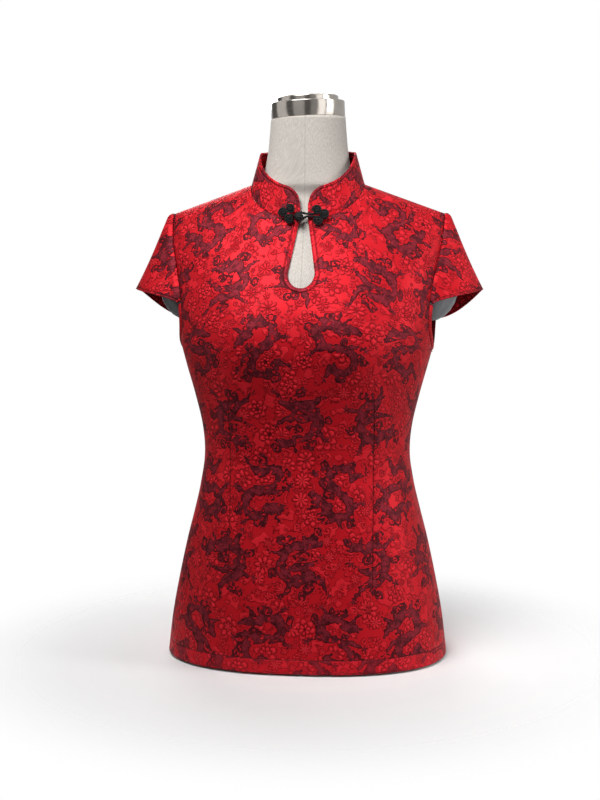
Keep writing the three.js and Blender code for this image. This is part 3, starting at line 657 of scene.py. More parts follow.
def figure_distances(node, cloth):
    """Woven figures have uneven outlines, and no two beasts hang quite alike."""
    sway = node("TexNoise", cloth, Scale=1 / SWAY_SPACING, Detail=1.0, out="Color")
    waver = node("TexNoise", cloth, Scale=1 / WAVER_SPACING, Detail=1.0, out="Color")
    sway = node("VectorMath.SUBTRACT", sway, NOISE_MIDDLE)
    sway = node("VectorMath.SCALE", sway, Scale=SWAY_REACH)
    waver = node("VectorMath.SUBTRACT", waver, NOISE_MIDDLE)
    waver = node("VectorMath.SCALE", waver, Scale=WAVER_REACH)
    drawn = node("VectorMath.ADD", cloth, waver)
    scallop = node("TexVoronoi.F1", cloth, Scale=1 / SCALLOP_SPACING, out="Distance")
    beast = beasts_in_repeat(node, node("VectorMath.ADD", drawn, sway))
    beast = node("Math.ADD", beast, node("Math.MULTIPLY_ADD", scallop, SCALLOP_DEPTH, -SCALLOP_IN))
    # Here and there the red ground shows through the body.
    worn = node("TexNoise", drawn, Scale=1 / GAP_SPACING, Detail=1.0)
    beast = node("Math.MAXIMUM", beast, node("Math.MULTIPLY_ADD", worn, GAP_SLOPE, -GAP_IN))
    flower, from_flower, turn, _ = blossoms(node, drawn, FLOWER_SPACING, FLOWER_OFFSET,
                                            FLOWER_RING, FLOWER_PETALS)
    inner = petals_distance(node, from_flower, turn, INNER_PETALS, INNER_RING)
    flower = behind_of(node, flower, inner, INNER_GAP)
    bud, from_bud, bud_turn, lot = blossoms(node, drawn, BUD_SPACING, BUD_OFFSET, BUD_RING, BUD_PETALS)
    curl = open_curl(node, from_bud, bud_turn)
    bud = node("Mix", node("Math.GREATER_THAN", lot, CURL_SHARE), None, bud, curl)
    small = behind_of(node, leaf_distance(node, drawn), bud, BUD_GAP)
    return Figures(beast, flower, from_flower, small)


# %% The figures' masks
# Where each mask is 0 and where it is 1, in millimetres from the figure's outline, or
# from the middle of the flower for its heart.
CLEAR_OF_BEAST, CLEAR_OF_FLOWER = (0.6, 2.6), (0.7, 1.5)
ON_BEAST, ON_FLOWER, ON_SMALL = (0.3, -0.3), (0.25, -0.55), (0.25, -0.45)
FLOWER_OUTLINE_SHADE, SMALL_OUTLINE_SHADE, SMALL_OUTLINE_SHADE_SHARE = (1.5, 0.2), (1.1, 0.1), 0.9
IN_HEART = (HEART_SIZE + 0.7, HEART_SIZE)
Masks = namedtuple("Masks", "clear behind flower small beast edge heart")


def figure_masks(node, at):
    """Flowers keep clear of the beasts, and buds and leaves keep clear of the flowers."""
    clear = node("MapRange.SMOOTHSTEP", at.beast, *CLEAR_OF_BEAST)
    behind = node("Math.MULTIPLY", node("MapRange.SMOOTHSTEP", at.flower, *CLEAR_OF_FLOWER), clear)
    flower = node("Math.MULTIPLY", node("MapRange.SMOOTHSTEP", at.flower, *ON_FLOWER), clear)
    small = node("Math.MULTIPLY", node("MapRange.SMOOTHSTEP", at.small, *ON_SMALL), behind)
    beast = node("MapRange.SMOOTHSTEP", at.beast, *ON_BEAST)
    # The ring just outside petals and buds is partly a darker outline and partly painted shade at the
    # foot of their relief.
    flower_outline_shade = node("Math.MULTIPLY", node("MapRange.SMOOTHSTEP", at.flower, *FLOWER_OUTLINE_SHADE), clear)
    small_outline_shade = node("Math.MULTIPLY", node("MapRange.SMOOTHSTEP", at.small, *SMALL_OUTLINE_SHADE), behind)
    edge = node("Math.MAXIMUM", flower_outline_shade, node("Math.MULTIPLY", small_outline_shade, SMALL_OUTLINE_SHADE_SHARE))
    middle = node("MapRange.SMOOTHSTEP", at.from_flower, *IN_HEART)
    return Masks(clear, behind, flower, small, beast, edge, node("Math.MULTIPLY", middle, clear))


# %% The threads' colours
# The darkest red is the flowers' hearts, and also the ring round petals and buds, which is partly
# painted shade at the foot of their relief.
GROUND_RED, FLOWER_RED, BUD_RED, OUTLINE_SHADE_AND_HEART_RED = "#b6151f", "#d42531", "#c81e29", "#56090e"
# The darkest thread is the beasts' outline, and it is also the painted shade in the sewn grooves.
MAROON_THREAD, DARK_THREAD, BEAST_OUTLINE_AND_GROOVE_SHADE = "#86222e", "#44131a", "#26080c"
OUTLINE_SHADE_DEPTH, RIM_DEPTH, PATCH_SPACING = 0.87, 0.85, 9
PATCH_RANGE, PATCH_DEPTH, PEBBLE_TINT = (0.4, 0.66), (-0.1, 0.6), 0.75
# Where each tint is 0 and where it is 1, in millimetres from the outline.
# Petals and buds are painted from the ground red at their outline to their own red inside, a painted
# rounding of light and shade.
BUD_PAINTED_ROUNDING, PETAL_PAINTED_ROUNDING, BEAST_RIM = (0, -1.4), (0, -2.2), (-2.3, -0.5)


def thread_colours(node, cloth, at, on, pebble):
    """Self-coloured flowers on the red ground, and beasts in uneven maroon with a dark rim. Petals and
    buds get a painted rounding of light and shade, and a ring of painted shade round them.
    """
    # Painted shade: the ground darkens in a ring round petals and buds, partly an outline and partly
    # shade at the foot of their relief.
    outline = node("Math.MULTIPLY", on.edge, OUTLINE_SHADE_DEPTH)
    tint = node("MixRGB", outline, colour(GROUND_RED), colour(OUTLINE_SHADE_AND_HEART_RED))
    # Each petal is painted brightest in its middle and darker towards its outline, as painted light
    # and shade over its dome.
    painted_rounding = node("MapRange.SMOOTHSTEP", at.small, *BUD_PAINTED_ROUNDING)
    bud_tint = node("MixRGB", painted_rounding, colour(GROUND_RED), colour(BUD_RED))
    painted_rounding = node("MapRange.SMOOTHSTEP", at.flower, *PETAL_PAINTED_ROUNDING)
    petal_tint = node("MixRGB", painted_rounding, colour(GROUND_RED), colour(FLOWER_RED))
    tint = node("MixRGB", on.small, tint, bud_tint)
    tint = node("MixRGB", on.flower, tint, petal_tint)
    tint = node("MixRGB", on.heart, tint, colour(OUTLINE_SHADE_AND_HEART_RED))
    patch = node("TexNoise", cloth, Scale=1 / PATCH_SPACING, Detail=1.0)
    uneven = node("MapRange", patch, *PATCH_RANGE, *PATCH_DEPTH)
    depth = node("Math.MULTIPLY_ADD", pebble, PEBBLE_TINT, uneven)
    thread = node("MixRGB", depth, colour(MAROON_THREAD), colour(DARK_THREAD))
    rim = node("MapRange.SMOOTHSTEP", at.beast, *BEAST_RIM)
    thread = node("MixRGB", node("Math.MULTIPLY", rim, RIM_DEPTH), thread, colour(BEAST_OUTLINE_AND_GROOVE_SHADE))
    return node("MixRGB", on.beast, tint, thread)


# %% The threads' height
SMALL_RISE, BEAST_RISE, PEBBLE_DEPTH = 0.6, 0.55, 0.35
# Where a dome starts outside the outline and where it is full inside it, in millimetres.
PETAL_DOME, SMALL_DOME = (1.0, -2.4), (0.8, -1.2)


def figure_height(node, at, on, pebble):
    """Petals are domed and stand highest. The beasts are a low, pebbled relief."""
    petal = node("Math.MULTIPLY", node("MapRange.SMOOTHSTEP", at.flower, *PETAL_DOME), on.clear)
    dome = node("MapRange.SMOOTHSTEP", at.small, *SMALL_DOME)
    height = node("Math.MULTIPLY_ADD", dome, node("Math.MULTIPLY", on.behind, SMALL_RISE), petal)
    height = node("Math.MULTIPLY_ADD", on.beast, BEAST_RISE, height)
    pebbled = node("Math.MULTIPLY", pebble, on.beast)
    return node("Math.MULTIPLY_ADD", pebbled, -PEBBLE_DEPTH, height)


# %% Sewn lines
# The turned band is painted a little lighter red, a painted highlight on its raised step.
TURNED_HIGHLIGHT_RED, TURNED_HIGHLIGHT_SHARE, TURNED_RISE = "#ff3648", 0.08, 0.9
# The dart and fold lines are painted dark, a painted shade in their grooves.
GROOVE_SHADE_TINT, SEWN_DEPTH, FOLD_LINE_SHARE = 0.6, 1.4, 0.8
# Where each mark is 0 and where it is 1: millimetres from the line, or of cloth taken in.
DART_LINE, DART_ENDS, FOLD_LINE, TURNED_EDGE = (1.3, 0.1), (0.2, 3), (1.7, 0.2), (1.6, -1.2)


def add_sewing(node, tint, height, dart, intake):
    """Darts are narrow grooves, and a turned edge is a step with a groove. The grooves are painted
    dark as painted shade, and the turned band gets a painted highlight.
    """
    dart_line = node("MapRange.SMOOTHSTEP", node("Math.ABSOLUTE", dart), *DART_LINE)
    taken_in = node("MapRange.SMOOTHSTEP", node("Math.ABSOLUTE", intake), *DART_ENDS)
    dart_line = node("Math.MULTIPLY", dart_line, taken_in)
    stitch = node("Attribute", attribute_name="stitch", out="Fac")
    fold_line = node("MapRange.SMOOTHSTEP", node("Math.ABSOLUTE", stitch), *FOLD_LINE)
    sewn = node("Math.MAXIMUM", dart_line, node("Math.MULTIPLY", fold_line, FOLD_LINE_SHARE))
    turned = node("MapRange.SMOOTHSTEP", stitch, *TURNED_EDGE)
    # Painted highlight on the turned band.
    tint = node("MixRGB", node("Math.MULTIPLY", turned, TURNED_HIGHLIGHT_SHARE), tint, colour(TURNED_HIGHLIGHT_RED))
    # Painted shade in the dart and fold-line grooves.
    tint = node("MixRGB", node("Math.MULTIPLY", sewn, GROOVE_SHADE_TINT), tint, colour(BEAST_OUTLINE_AND_GROOVE_SHADE))
    height = node("Math.MULTIPLY_ADD", sewn, -SEWN_DEPTH, height)
    return tint, node("Math.ADD", height, node("Math.MULTIPLY", turned, TURNED_RISE))


# %% The brocade itself
PEBBLE_SPACING, RELIEF, RELIEF_DEPTH = 2.4, 0.6, 0.0014
GROUND_ROUGH, FIGURE_ROUGH, GROUND_MIRROR, FIGURE_MIRROR, BEAST_MIRROR = 0.48, 0.58, 0.26, 0.1, 0.2


def make_brocade():
    """Silk brocade. Its satin ground gives a broad sheen, its figures a soft dull relief."""
    material, node = new_material("brocade_satin")
    cloth, dart, intake = place_on_cloth(node)
    at = figure_distances(node, cloth)
    on = figure_masks(node, at)
    # The pebbled weave of the beasts is really half this size, and would be too fine to show.
    pebble = node("TexVoronoi.F1", cloth, Scale=1 / PEBBLE_SPACING, out="Distance")
    tint = thread_colours(node, cloth, at, on, pebble)
    height = figure_height(node, at, on, pebble)
    tint, height = add_sewing(node, tint, height, dart, intake)
    relief = node("Bump", RELIEF, RELIEF_DEPTH, None, height)
    # The floats of the satin ground mirror light in their own red. The figures scatter it.
    figure = node("Math.MAXIMUM", on.beast, node("Math.MAXIMUM", on.flower, on.small))
    rough = node("MapRange", figure, 0, 1, GROUND_ROUGH, FIGURE_ROUGH)
    mirror = node("MapRange", figure, 0, 1, GROUND_MIRROR, FIGURE_MIRROR)
    mirror = node("Math.MULTIPLY_ADD", on.beast, BEAST_MIRROR, mirror)
    surface = node("BsdfPrincipled", tint, mirror, rough, Normal=relief, Specular_IOR_Level=0.3,
                   Specular_Tint=colour("#ff8890"), Sheen_Weight=0.03, Sheen_Roughness=0.5,
                   Sheen_Tint=colour("#ff3040"))
    node("OutputMaterial", surface)
    print("brocade nodes:", len(material.node_tree.nodes))
    return material


brocade = make_brocade()

# %% [markdown]
# ## The front and the back
#
# Each panel is two grids, one for each side, welded along the middle line. The bust and
# the waist are shaped by the body surface itself. A long dart on each side takes in the
# waist: it shows as a fine groove that runs out to nothing at both ends, and the pattern
# jumps across it because the cloth between is folded away. The soft creases are few and
# shallow, since the top fits closely. A cloth simulation would have lost the sewn shape.

# %% Soft creases, given as named strokes on the body
Crease = namedtuple("Crease", "x z angle length width height")
FRONT_CREASES = [
    Crease(-92, 330, 78, 60, 11, 0.9),
    Crease(94, 318, 104, 66, 12, 1.0),
    Crease(-60, 262, 12, 46, 10, -0.8),
    Crease(66, 250, 168, 52, 11, -0.8),
    Crease(-20, 240, 4, 60, 9, 0.5),
    Crease(40, 205, 172, 60, 14, 0.6),
    Crease(-120, 190, 100, 70, 13, 0.9),
    Crease(122, 176, 82, 76, 15, 0.9),
    Crease(-58, 90, 96, 80, 22, 0.9),
    Crease(70, 84, 86, 84, 24, 0.8),
    Crease(-128, 420, 62, 34, 9, 1.2),
    Crease(130, 424, 118, 32, 9, 1.2),
    Crease(-118, 505, 74, 40, 10, 0.9),
    Crease(120, 500, 104, 40, 10, 0.9),
]
BACK_CREASES = [
    Crease(-70, 300, 84, 70, 13, 1.0),
    Crease(64, 310, 98, 74, 14, 1.0),
    Crease(-40, 255, 8, 60, 9, -1.0),
    Crease(48, 270, 172, 56, 10, -1.1),
    Crease(0, 236, 0, 80, 11, 0.9),
    Crease(-96, 130, 94, 90, 20, 1.2),
    Crease(88, 120, 86, 96, 24, 1.1),
    Crease(-20, 96, 92, 90, 26, 0.9),
    Crease(-110, 450, 66, 60, 14, 1.0),
    Crease(112, 440, 112, 58, 13, 1.1),
]


def crease_height(creases, x, z):
    """Each crease is a long soft ridge or, where its height is below zero, a trough."""
    total = np.zeros_like(x)
    for c in creases:
        turn = math.radians(c.angle)
        dx, dz = x - c.x, z - c.z
        along = dx * math.cos(turn) + dz * math.sin(turn)
        over = dz * math.cos(turn) - dx * math.sin(turn)
        total += c.height * np.exp(-(along / c.length) ** 2 - (over / c.width) ** 2)
    return total


print(len(FRONT_CREASES), "creases on the front and", len(BACK_CREASES), "on the back")

# %% Panels
LOWER_ROWS, UPPER_ROWS, COLUMNS = 104, 72, 72
HEM_TURN, KEYHOLE_FACING, CREASE_MARGIN = 18, 6, 16
Dart = namedtuple("Dart", "x low high intake")
WAIST_DARTS = {"front": Dart(90, 62, 388, 9), "back": Dart(74, 120, 440, 14)}
# Where each cut lies on the roll of brocade, so that the two don't match at the seams.
PATTERN_START = {"front": (0, 0), "back": (31, 58)}


def dart_numbers(face, points, u):
    """How far each point is from the waist dart, and how much cloth the dart takes in."""
    dart = WAIST_DARTS[face.name]
    z = points[..., 2]
    line = np.array([np.interp(dart.x, *pair) for pair in zip(points[..., 0], u)])
    taken = smooth(dart.low, waist, z) * smooth(dart.high, waist, z)
    return u - line[:, None], dart.intake * taken


def panel_grid(face):
    lower, upper = np.linspace(0, 0.5, LOWER_ROWS + 1), np.linspace(0.5, 1, UPPER_ROWS + 1)
    up = np.concatenate([lower, upper[1:]])
    t, s = np.meshgrid(up, np.linspace(0, 1, COLUMNS + 1), indexing="ij")
    share, z = panel_place(face, s, t)
    return body_point(face, share, z)


def make_panel(face, creases):
    bm = bmesh.new()
    flat = panel_grid(face)
    normal = surface_normals(flat) * -face.sign
    u = lengths_along(flat, 1) + flat[:, :1, 0]
    v = lengths_along(flat, 0) + HEM_Z
    outline = np.concatenate([flat[:, -1], flat[-1]])
    fade = smooth(0, CREASE_MARGIN, distance_to(flat, outline))
    dart, intake = dart_numbers(face, flat, u)
    hem = v - HEM_Z - HEM_TURN
    stitch = hem
    if face is FRONT:
        slit = flat[:, 0][flat[:, 0, 2] >= KEYHOLE_Z - KEYHOLE_RISE - 0.1]
        stitch = np.minimum(hem, distance_to(flat, slit) - KEYHOLE_FACING)
    for side in (1, -1):
        mirror = np.array([side, 1, 1])
        # Seen from outside, the pattern runs the same way round on the front and the back.
        onward = -side * face.sign
        rise = crease_height(creases, flat[..., 0] * side, flat[..., 2]) * fade
        points = (flat + normal * rise[..., None]) * mirror
        numbers = {"stitch": stitch, "hem": hem, "dart": dart, "intake": intake * onward}
        uv = np.stack([u * onward, v], axis=-1) + PATTERN_START[face.name]
        grid_into(bm, points, numbers, uv, side * face.sign > 0)
    piece = finish_piece(bm, face.name + "_cloth", brocade, face.name)
    shell(piece, CLOTH)
    return piece


front = make_panel(FRONT, FRONT_CREASES)
back = make_panel(BACK, BACK_CREASES)

# %% [markdown]
# ## The cap sleeves
#
# A cap sleeve is a crescent of cloth eased into the upper armhole. It could be a bent
# plane, but then its head would not swell over the seam. Here each line down the sleeve
# is a Bezier curve, which leaves the seam almost level and then falls to the hem. The
# easing shows as small puckers along the seam that die out within a few millimetres.

# %% Armhole frames
STEP_TO_MIDDLE, STEP_DOWN, STEP_ROUND = 0.02, 1, 1


def armhole_frame(face, turn):
    """A point of the armhole seam, the normal there and the way into the armhole."""
    share, z = armhole_seam(face, turn)
    point = body_point(face, share, z)
    towards_middle = body_point(face, share - STEP_TO_MIDDLE, z) - point
    down = body_point(face, share, z - STEP_DOWN) - point
    normal = np.cross(down, towards_middle) * face.sign
    ahead = body_point(face, *armhole_seam(face, np.minimum(turn + STEP_ROUND, 180)))
    behind = body_point(face, *armhole_seam(face, np.minimum(turn, 180 - STEP_ROUND)))
    off = np.cross(normal, ahead - behind) * face.sign
    return point, unit(normal), unit(off)


lowest, _, _ = armhole_frame(FRONT, 0.0)
print("lowest point of the armhole:", lowest.round(1))

# %% Sleeves
# The notches are the turns round the armhole where the sleeve begins, in degrees.
FRONT_NOTCH, BACK_NOTCH = 75, 60
HEM_OUT = np.array([226, 4, 477])
HEM_ENDS = {"front": (np.array([162, -50, 460]), 0.65), "back": (np.array([168, 49, 438]), 1.8)}
HEAD_START, HEAD_TURN, HEAD_PUFF = 0.11, 0.26, 0.023
SLEEVE_COLUMNS, SLEEVE_ROWS, SLEEVE_TURN = 50, 36, 2.6
PUCKER_STEP, PUCKER_RISE, SEAM_REACH, HEAD_RISE = 1.5, 0.35, 7, 0.9
SLEEVE_PATTERN_START = (50, 560)


def half_sleeve(face, notch):
    """From the notch up to the shoulder tip: rows run from the seam down to the hem."""
    turn = np.linspace(notch, 180, SLEEVE_COLUMNS + 1)
    point, _, off = armhole_frame(face, turn)
    seam = point + off * SEAM_GAP
    seam[-1] = (SHOULDER_TIP_X + SEAM_GAP, SHOULDER_SEAM_Y, SHOULDER_TIP_Z)
    end, rise = HEM_ENDS[face.name]
    from_end = (turn - notch) / (180 - notch)
    x = mix(end[0], HEM_OUT[0], np.sin(from_end * QUARTER))
    y = mix(HEM_OUT[1], end[1], np.cos(from_end * QUARTER))
    z = mix(end[2], HEM_OUT[2], ((x - end[0]) / (HEM_OUT[0] - end[0])) ** rise)
    hem = np.stack([x, y, z], axis=-1)
    length = np.linalg.norm(hem - seam, axis=-1, keepdims=True)
    level = seam + length * np.array([HEAD_START, 0, HEAD_PUFF])
    bend = mix(seam, hem, HEAD_TURN)
    t = np.linspace(0, 1, SLEEVE_ROWS + 1)[:, None, None]
    return ((1 - t) ** 3 * seam + 3 * (1 - t) ** 2 * t * level
            + 3 * (1 - t) * t ** 2 * bend + t ** 3 * hem)


def sleeve_uv(flat, down):
    """Laid flat: height is measured down the outer line, and width round from that line."""
    outer = flat[:, SLEEVE_COLUMNS]
    order = np.argsort(outer[:, 2])
    x, y, z = np.moveaxis(flat, -1, 0)
    outer_x, outer_y, fallen = (np.interp(z, outer[order, 2], row[order])
                                for row in (outer[:, 0], outer[:, 1], down[:, SLEEVE_COLUMNS]))
    # The back of the sleeve hangs lower than the outer line's end.
    fallen += np.maximum(outer[:, 2].min() - z, 0)
    way = np.where(np.arange(flat.shape[1]) < SLEEVE_COLUMNS, -1, 1)
    around = np.hypot(outer_x - x, outer_y - y) * way
    return np.stack([around, -fallen], axis=-1) + SLEEVE_PATTERN_START


def make_sleeve(name, side):
    fore, aft = half_sleeve(FRONT, FRONT_NOTCH), half_sleeve(BACK, BACK_NOTCH)
    flat = np.concatenate([fore, aft[:, -2::-1]], axis=1)
    down = lengths_along(flat, 0)
    normal = -surface_normals(flat)
    wave = np.sin(lengths_along(flat, 1) / PUCKER_STEP)
    pucker = wave * PUCKER_RISE * np.exp(-(down / SEAM_REACH) ** 2)
    head = HEAD_RISE * np.exp(-((down - SEAM_REACH) / SEAM_REACH) ** 2)
    points = (flat + normal * (pucker + head)[..., None]) * np.array([side, 1, 1])
    numbers = {"stitch": down[-1:] - down - SLEEVE_TURN}
    bm = bmesh.new()
    grid_into(bm, points, numbers, sleeve_uv(flat, down) * np.array([side, 1]), side > 0)
    piece = finish_piece(bm, name + "_cloth", brocade, name)
    shell(piece, CLOTH)
    return piece


sleeves = [make_sleeve("sleeve_left", 1), make_sleeve("sleeve_right", -1)]

# %% [markdown]
# ## Armhole bindings
#
# Below the sleeve the armhole is finished with a bias strip. It could be a flat ribbon
# with a thickness. It is modelled as a closed section swept round the edge instead,
# because both its folded edges show.

# %% Bindings
BINDING_WIDTH, BINDING_WALL, BINDING_FLARE, BINDING_PROUD = 7.0, 2.4, 0.2, 0.3
BINDING_GAP, BINDING_END_GAP, FRONT_RINGS, BACK_RINGS = 0.45, 1.8, 46, 38
NO_STITCH_NEAR = 99
BINDING_SECTION = np.array([
    # out along the width, down through the wall
    (0, 0.1), (0.25, 0.02), (0.5, 0), (0.75, 0.03), (0.92, 0.14), (1, 0.5),
    (0.92, 0.86), (0.75, 0.97), (0.5, 1), (0.25, 1), (0, 1), (0, 0.55),
])


def binding_rings():
    fore = np.linspace(FRONT_NOTCH - BINDING_END_GAP, 0, FRONT_RINGS)
    aft = np.linspace(0, BACK_NOTCH - BINDING_END_GAP, BACK_RINGS)[1:]
    both = zip(armhole_frame(FRONT, fore), armhole_frame(BACK, aft))
    point, normal, off = [np.concatenate(pair) for pair in both]
    out = unit(off + normal * BINDING_FLARE)
    thick = unit(np.cross(out, np.cross(normal, off)))
    start = point + off * BINDING_GAP
    wide = BINDING_SECTION[:, 0] * BINDING_WIDTH
    deep = BINDING_PROUD - BINDING_SECTION[:, 1] * BINDING_WALL
    return start[:, None] + out[:, None] * wide[:, None] + thick[:, None] * deep[:, None]


def closed_tube(bm, rings, numbers=None, flip=False):
    """Rings of points joined to a tube with both ends filled."""
    loop = np.concatenate([rings, rings[:, :1]], axis=1)
    uv = np.stack([lengths_along(loop, 1), lengths_along(loop, 0)], axis=-1)
    grid_into(bm, loop, numbers or {}, uv, flip)
    bmesh.ops.remove_doubles(bm, verts=bm.verts, dist=FINE_MERGE * MM)
    edges = [edge for edge in bm.edges if edge.is_boundary]
    bmesh.ops.holes_fill(bm, edges=edges, sides=0)


def make_binding(name, side):
    rings = binding_rings() * np.array([side, 1, 1])
    ring_count, ring_points = rings.shape[:2]
    plain = {"stitch": np.full((ring_count, ring_points + 1), NO_STITCH_NEAR)}
    bm = bmesh.new()
    closed_tube(bm, rings, plain, flip=side < 0)
    bmesh.ops.recalc_face_normals(bm, faces=bm.faces)
    return finish_piece(bm, name + "_cloth", brocade, name)


bindings = [make_binding("armhole_binding_left", 1), make_binding("armhole_binding_right", -1)]

# %% [markdown]
# ## The standing collar
#
# The collar is a band that follows the neck seam and leans in a little towards the neck.
# Its two front ends are rounded off. The band is stiffened and its edge is turned and
# pressed, so it is the one piece of cloth here without soft creases.

# %% Collar
COLLAR_WALL, COLLAR_HEIGHT, COLLAR_RISE, COLLAR_LEAN, COLLAR_AXIS_Y = 2.2, 40, 39.5, 0.15, 6
CORNER_DROP, CORNER_LENGTH = 21, 22
SEAT_IN, SEAT_UP, SEAT_FORWARD = 0.4, 0.2, 0.3
COLLAR_STEPS, COLLAR_ROWS, COLLAR_TURN = 56, 24, 4.2
COLLAR_ROUNDING, COLLAR_PATTERN_START = 0.6, 20


def collar_seat(face, steps):
    turn = neck_turn(face, np.linspace(0, 1, steps + 1))
    point = body_point(face, *neck_seam(face, turn))
    inwards = np.stack([-point[:, 0], COLLAR_AXIS_Y - point[:, 1], 0 * turn], axis=-1)
    point += unit(inwards) * SEAT_IN
    point[:, 2] += SEAT_UP
    return point


def collar_grid():
    fore, aft = collar_seat(FRONT, COLLAR_STEPS), collar_seat(BACK, COLLAR_STEPS)
    aft[:, 1] -= SEAT_FORWARD
    fore[-1] = aft[-1] = (fore[-1] + aft[-1]) / 2
    left = np.concatenate([fore, aft[-2::-1]])
    base = np.concatenate([left, left[-2::-1] * np.array([-1, 1, 1])])
    step = np.linalg.norm(np.diff(base, axis=0), axis=-1)
    along = np.concatenate([[0], np.cumsum(step)])
    from_end = np.clip(np.minimum(along, along[-1] - along) / CORNER_LENGTH, 0, 1)
    height = COLLAR_HEIGHT - CORNER_DROP * (1 - np.sqrt(1 - (1 - from_end) ** 2))
    up = np.linspace(0, 1, COLLAR_ROWS + 1)[:, None] * height / COLLAR_HEIGHT
    x = base[:, 0] * (1 - COLLAR_LEAN * up)
    y = mix(base[:, 1], COLLAR_AXIS_Y, COLLAR_LEAN * up)
    z = base[:, 2] + COLLAR_RISE * up
    return np.stack([x, y, z], axis=-1), along


def make_collar():
    points, along = collar_grid()
    up = lengths_along(points, 0)
    outline = np.concatenate([points[:, 0], points[-1], points[:, -1]])
    numbers = {"stitch": distance_to(points, outline) - COLLAR_TURN}
    from_back = np.broadcast_to(along - along[-1] / 2, up.shape)
    uv = np.stack([from_back, up + COLLAR_PATTERN_START], axis=-1)
    bm = bmesh.new()
    grid_into(bm, points, numbers, uv, False)
    piece = finish_piece(bm, "collar_band", brocade, "collar")
    shell(piece, COLLAR_WALL, COLLAR_ROUNDING)
    return piece


collar = make_collar()

# %% [markdown]
# ## The frog
#
# A frog is a fastener made of one satin cord. The cord is coiled into flat petals that are
# sewn down on each side. One side ends in a ball knot and the other in a loop. A torus
# for each turn would be quicker but would not wind inwards. A cord is a circle swept
# along a path, so each coil is a spiral path laid over a shallow dome.

# %% Satin cord
CORD_THREAD, CORD_SLANT, LINT_SCALE, LINT_DETAIL = 1.1, 1.9, 0.8, 2.0
# A relief is the strength of the bump and its depth in metres.
LINT_RANGE, CORD_ROUGH, CORD_RELIEF = (0.3, 0.7), (0.5, 0.72), (0.5, 0.0003)


def make_cord_finish():
    """Black bias cord: a dull satin whose weave runs round it at a slant, 1.1 mm a thread."""
    material, node = new_material("black_satin_cord")
    along_mm = node("VectorMath.SCALE", node("UVMap", uv_map="UVMap"), Scale=1000)
    x, y, _ = node("SeparateXYZ", along_mm, out=None)
    round_it = node("Math.MULTIPLY", x, CORD_SLANT)
    slant = node("Math.MULTIPLY_ADD", y, 2 * math.pi / CORD_THREAD, round_it)
    thread = node("Math.MULTIPLY_ADD", node("Math.SINE", slant), 0.5, 0.5)
    lint = node("TexNoise", along_mm, Scale=LINT_SCALE, Detail=LINT_DETAIL)
    tint = node("MixRGB", node("Math.MULTIPLY", thread, lint), colour("#040405"), colour("#17161a"))
    relief = node("Bump", *CORD_RELIEF, None, thread)
    rough = node("MapRange", lint, *LINT_RANGE, *CORD_ROUGH)
    surface = node("BsdfPrincipled", tint, Roughness=rough, Normal=relief, Specular_IOR_Level=0.25)
    node("OutputMaterial", surface)
    return material


satin_cord = make_cord_finish()
print("finish:", satin_cord.name)

# %% A cord along a path
CORD_SIDES, ASKEW = 8, (0.3, 1, 0.2)


def round_cord(bm, path, radius):
    """Sweeps a circle along a path, keeping the circle's own turn from twisting."""
    path = np.asarray(path, float)
    tangent = unit(np.gradient(path, axis=0))
    side = np.cross(tangent[0], ASKEW)
    turn = np.arange(CORD_SIDES)[:, None] * 2 * math.pi / CORD_SIDES
    rings = []
    for centre, ahead in zip(path, tangent):
        side = unit(side - ahead * (side @ ahead))
        other = np.cross(ahead, side)
        rings.append(centre + radius * (np.cos(turn) * side + np.sin(turn) * other))
    part = bmesh.new()
    closed_tube(part, np.array(rings))
    bmesh.ops.recalc_face_normals(part, faces=part.faces)
    mesh = bpy.data.meshes.new("part")
    part.to_mesh(mesh)
    part.free()
    bm.from_mesh(mesh)
    bpy.data.meshes.remove(mesh)


def smooth_path(route, steps):
    """A curve through the route's points, in even steps of its own length."""
    route = np.asarray(route, float)
    knots = np.concatenate([[0], np.cumsum(np.linalg.norm(np.diff(route, axis=0), axis=-1))])
    at = np.linspace(0, knots[-1], steps)
    return np.stack([curve(knots, route[:, k])(at) for k in range(3)], axis=-1)


# %% The frog's coils and knot
COIL_RADIUS, COIL_HALF, COIL_CORD, COIL_WINDS, COIL_STEPS = 6.3, 3.3, 1.15, 2.25, 84
COIL_START, COIL_SPREAD, PAD_DROP = 0.12, 1.3, 0.7
KNOT, KNOT_RADIUS, KNOT_CORD, KNOT_SET_IN = (-5.2, -67.6, 568), 5.8, 1.55, 1.6
KNOT_WAVE, KNOT_WAVES, HOOP_STEPS = 0.35, 3, 48
# Each hoop of the knot is tilted from upright and then turned about the knot, in degrees.
KNOT_HOOPS = [(0, 20), (0, 80), (0, 140), (60, 50), (60, 110), (60, 170), (90, 0)]
BALL_GRAIN = {"u_segments": 20, "v_segments": 12}


def coil_path(centre, start_turn):
    """A spiral over a shallow dome that faces the front."""
    t = np.linspace(COIL_START, 1, COIL_STEPS)
    radius = (COIL_RADIUS - COIL_CORD) * np.minimum(1, COIL_SPREAD * t)
    turn = start_turn + COIL_WINDS * 2 * math.pi * t
    proud = (COIL_HALF - COIL_CORD) * np.sqrt(np.maximum(1 - (radius / COIL_RADIUS) ** 2, 0))
    return np.stack([centre[0] + radius * np.cos(turn), centre[1] - proud,
                     centre[2] + radius * np.sin(turn)], axis=-1)


def add_coil(bm, centre, start_turn):
    """A coil of cord on a flat pad that closes it from behind."""
    round_cord(bm, coil_path(centre, start_turn), COIL_CORD)
    size = COIL_RADIUS - COIL_CORD
    scale = Matrix.Diagonal((size * MM, (COIL_HALF - PAD_DROP) * MM, size * MM, 1))
    seat = Matrix.Translation(Vector(centre) * MM)
    bmesh.ops.create_uvsphere(bm, **BALL_GRAIN, radius=1, matrix=seat @ scale)


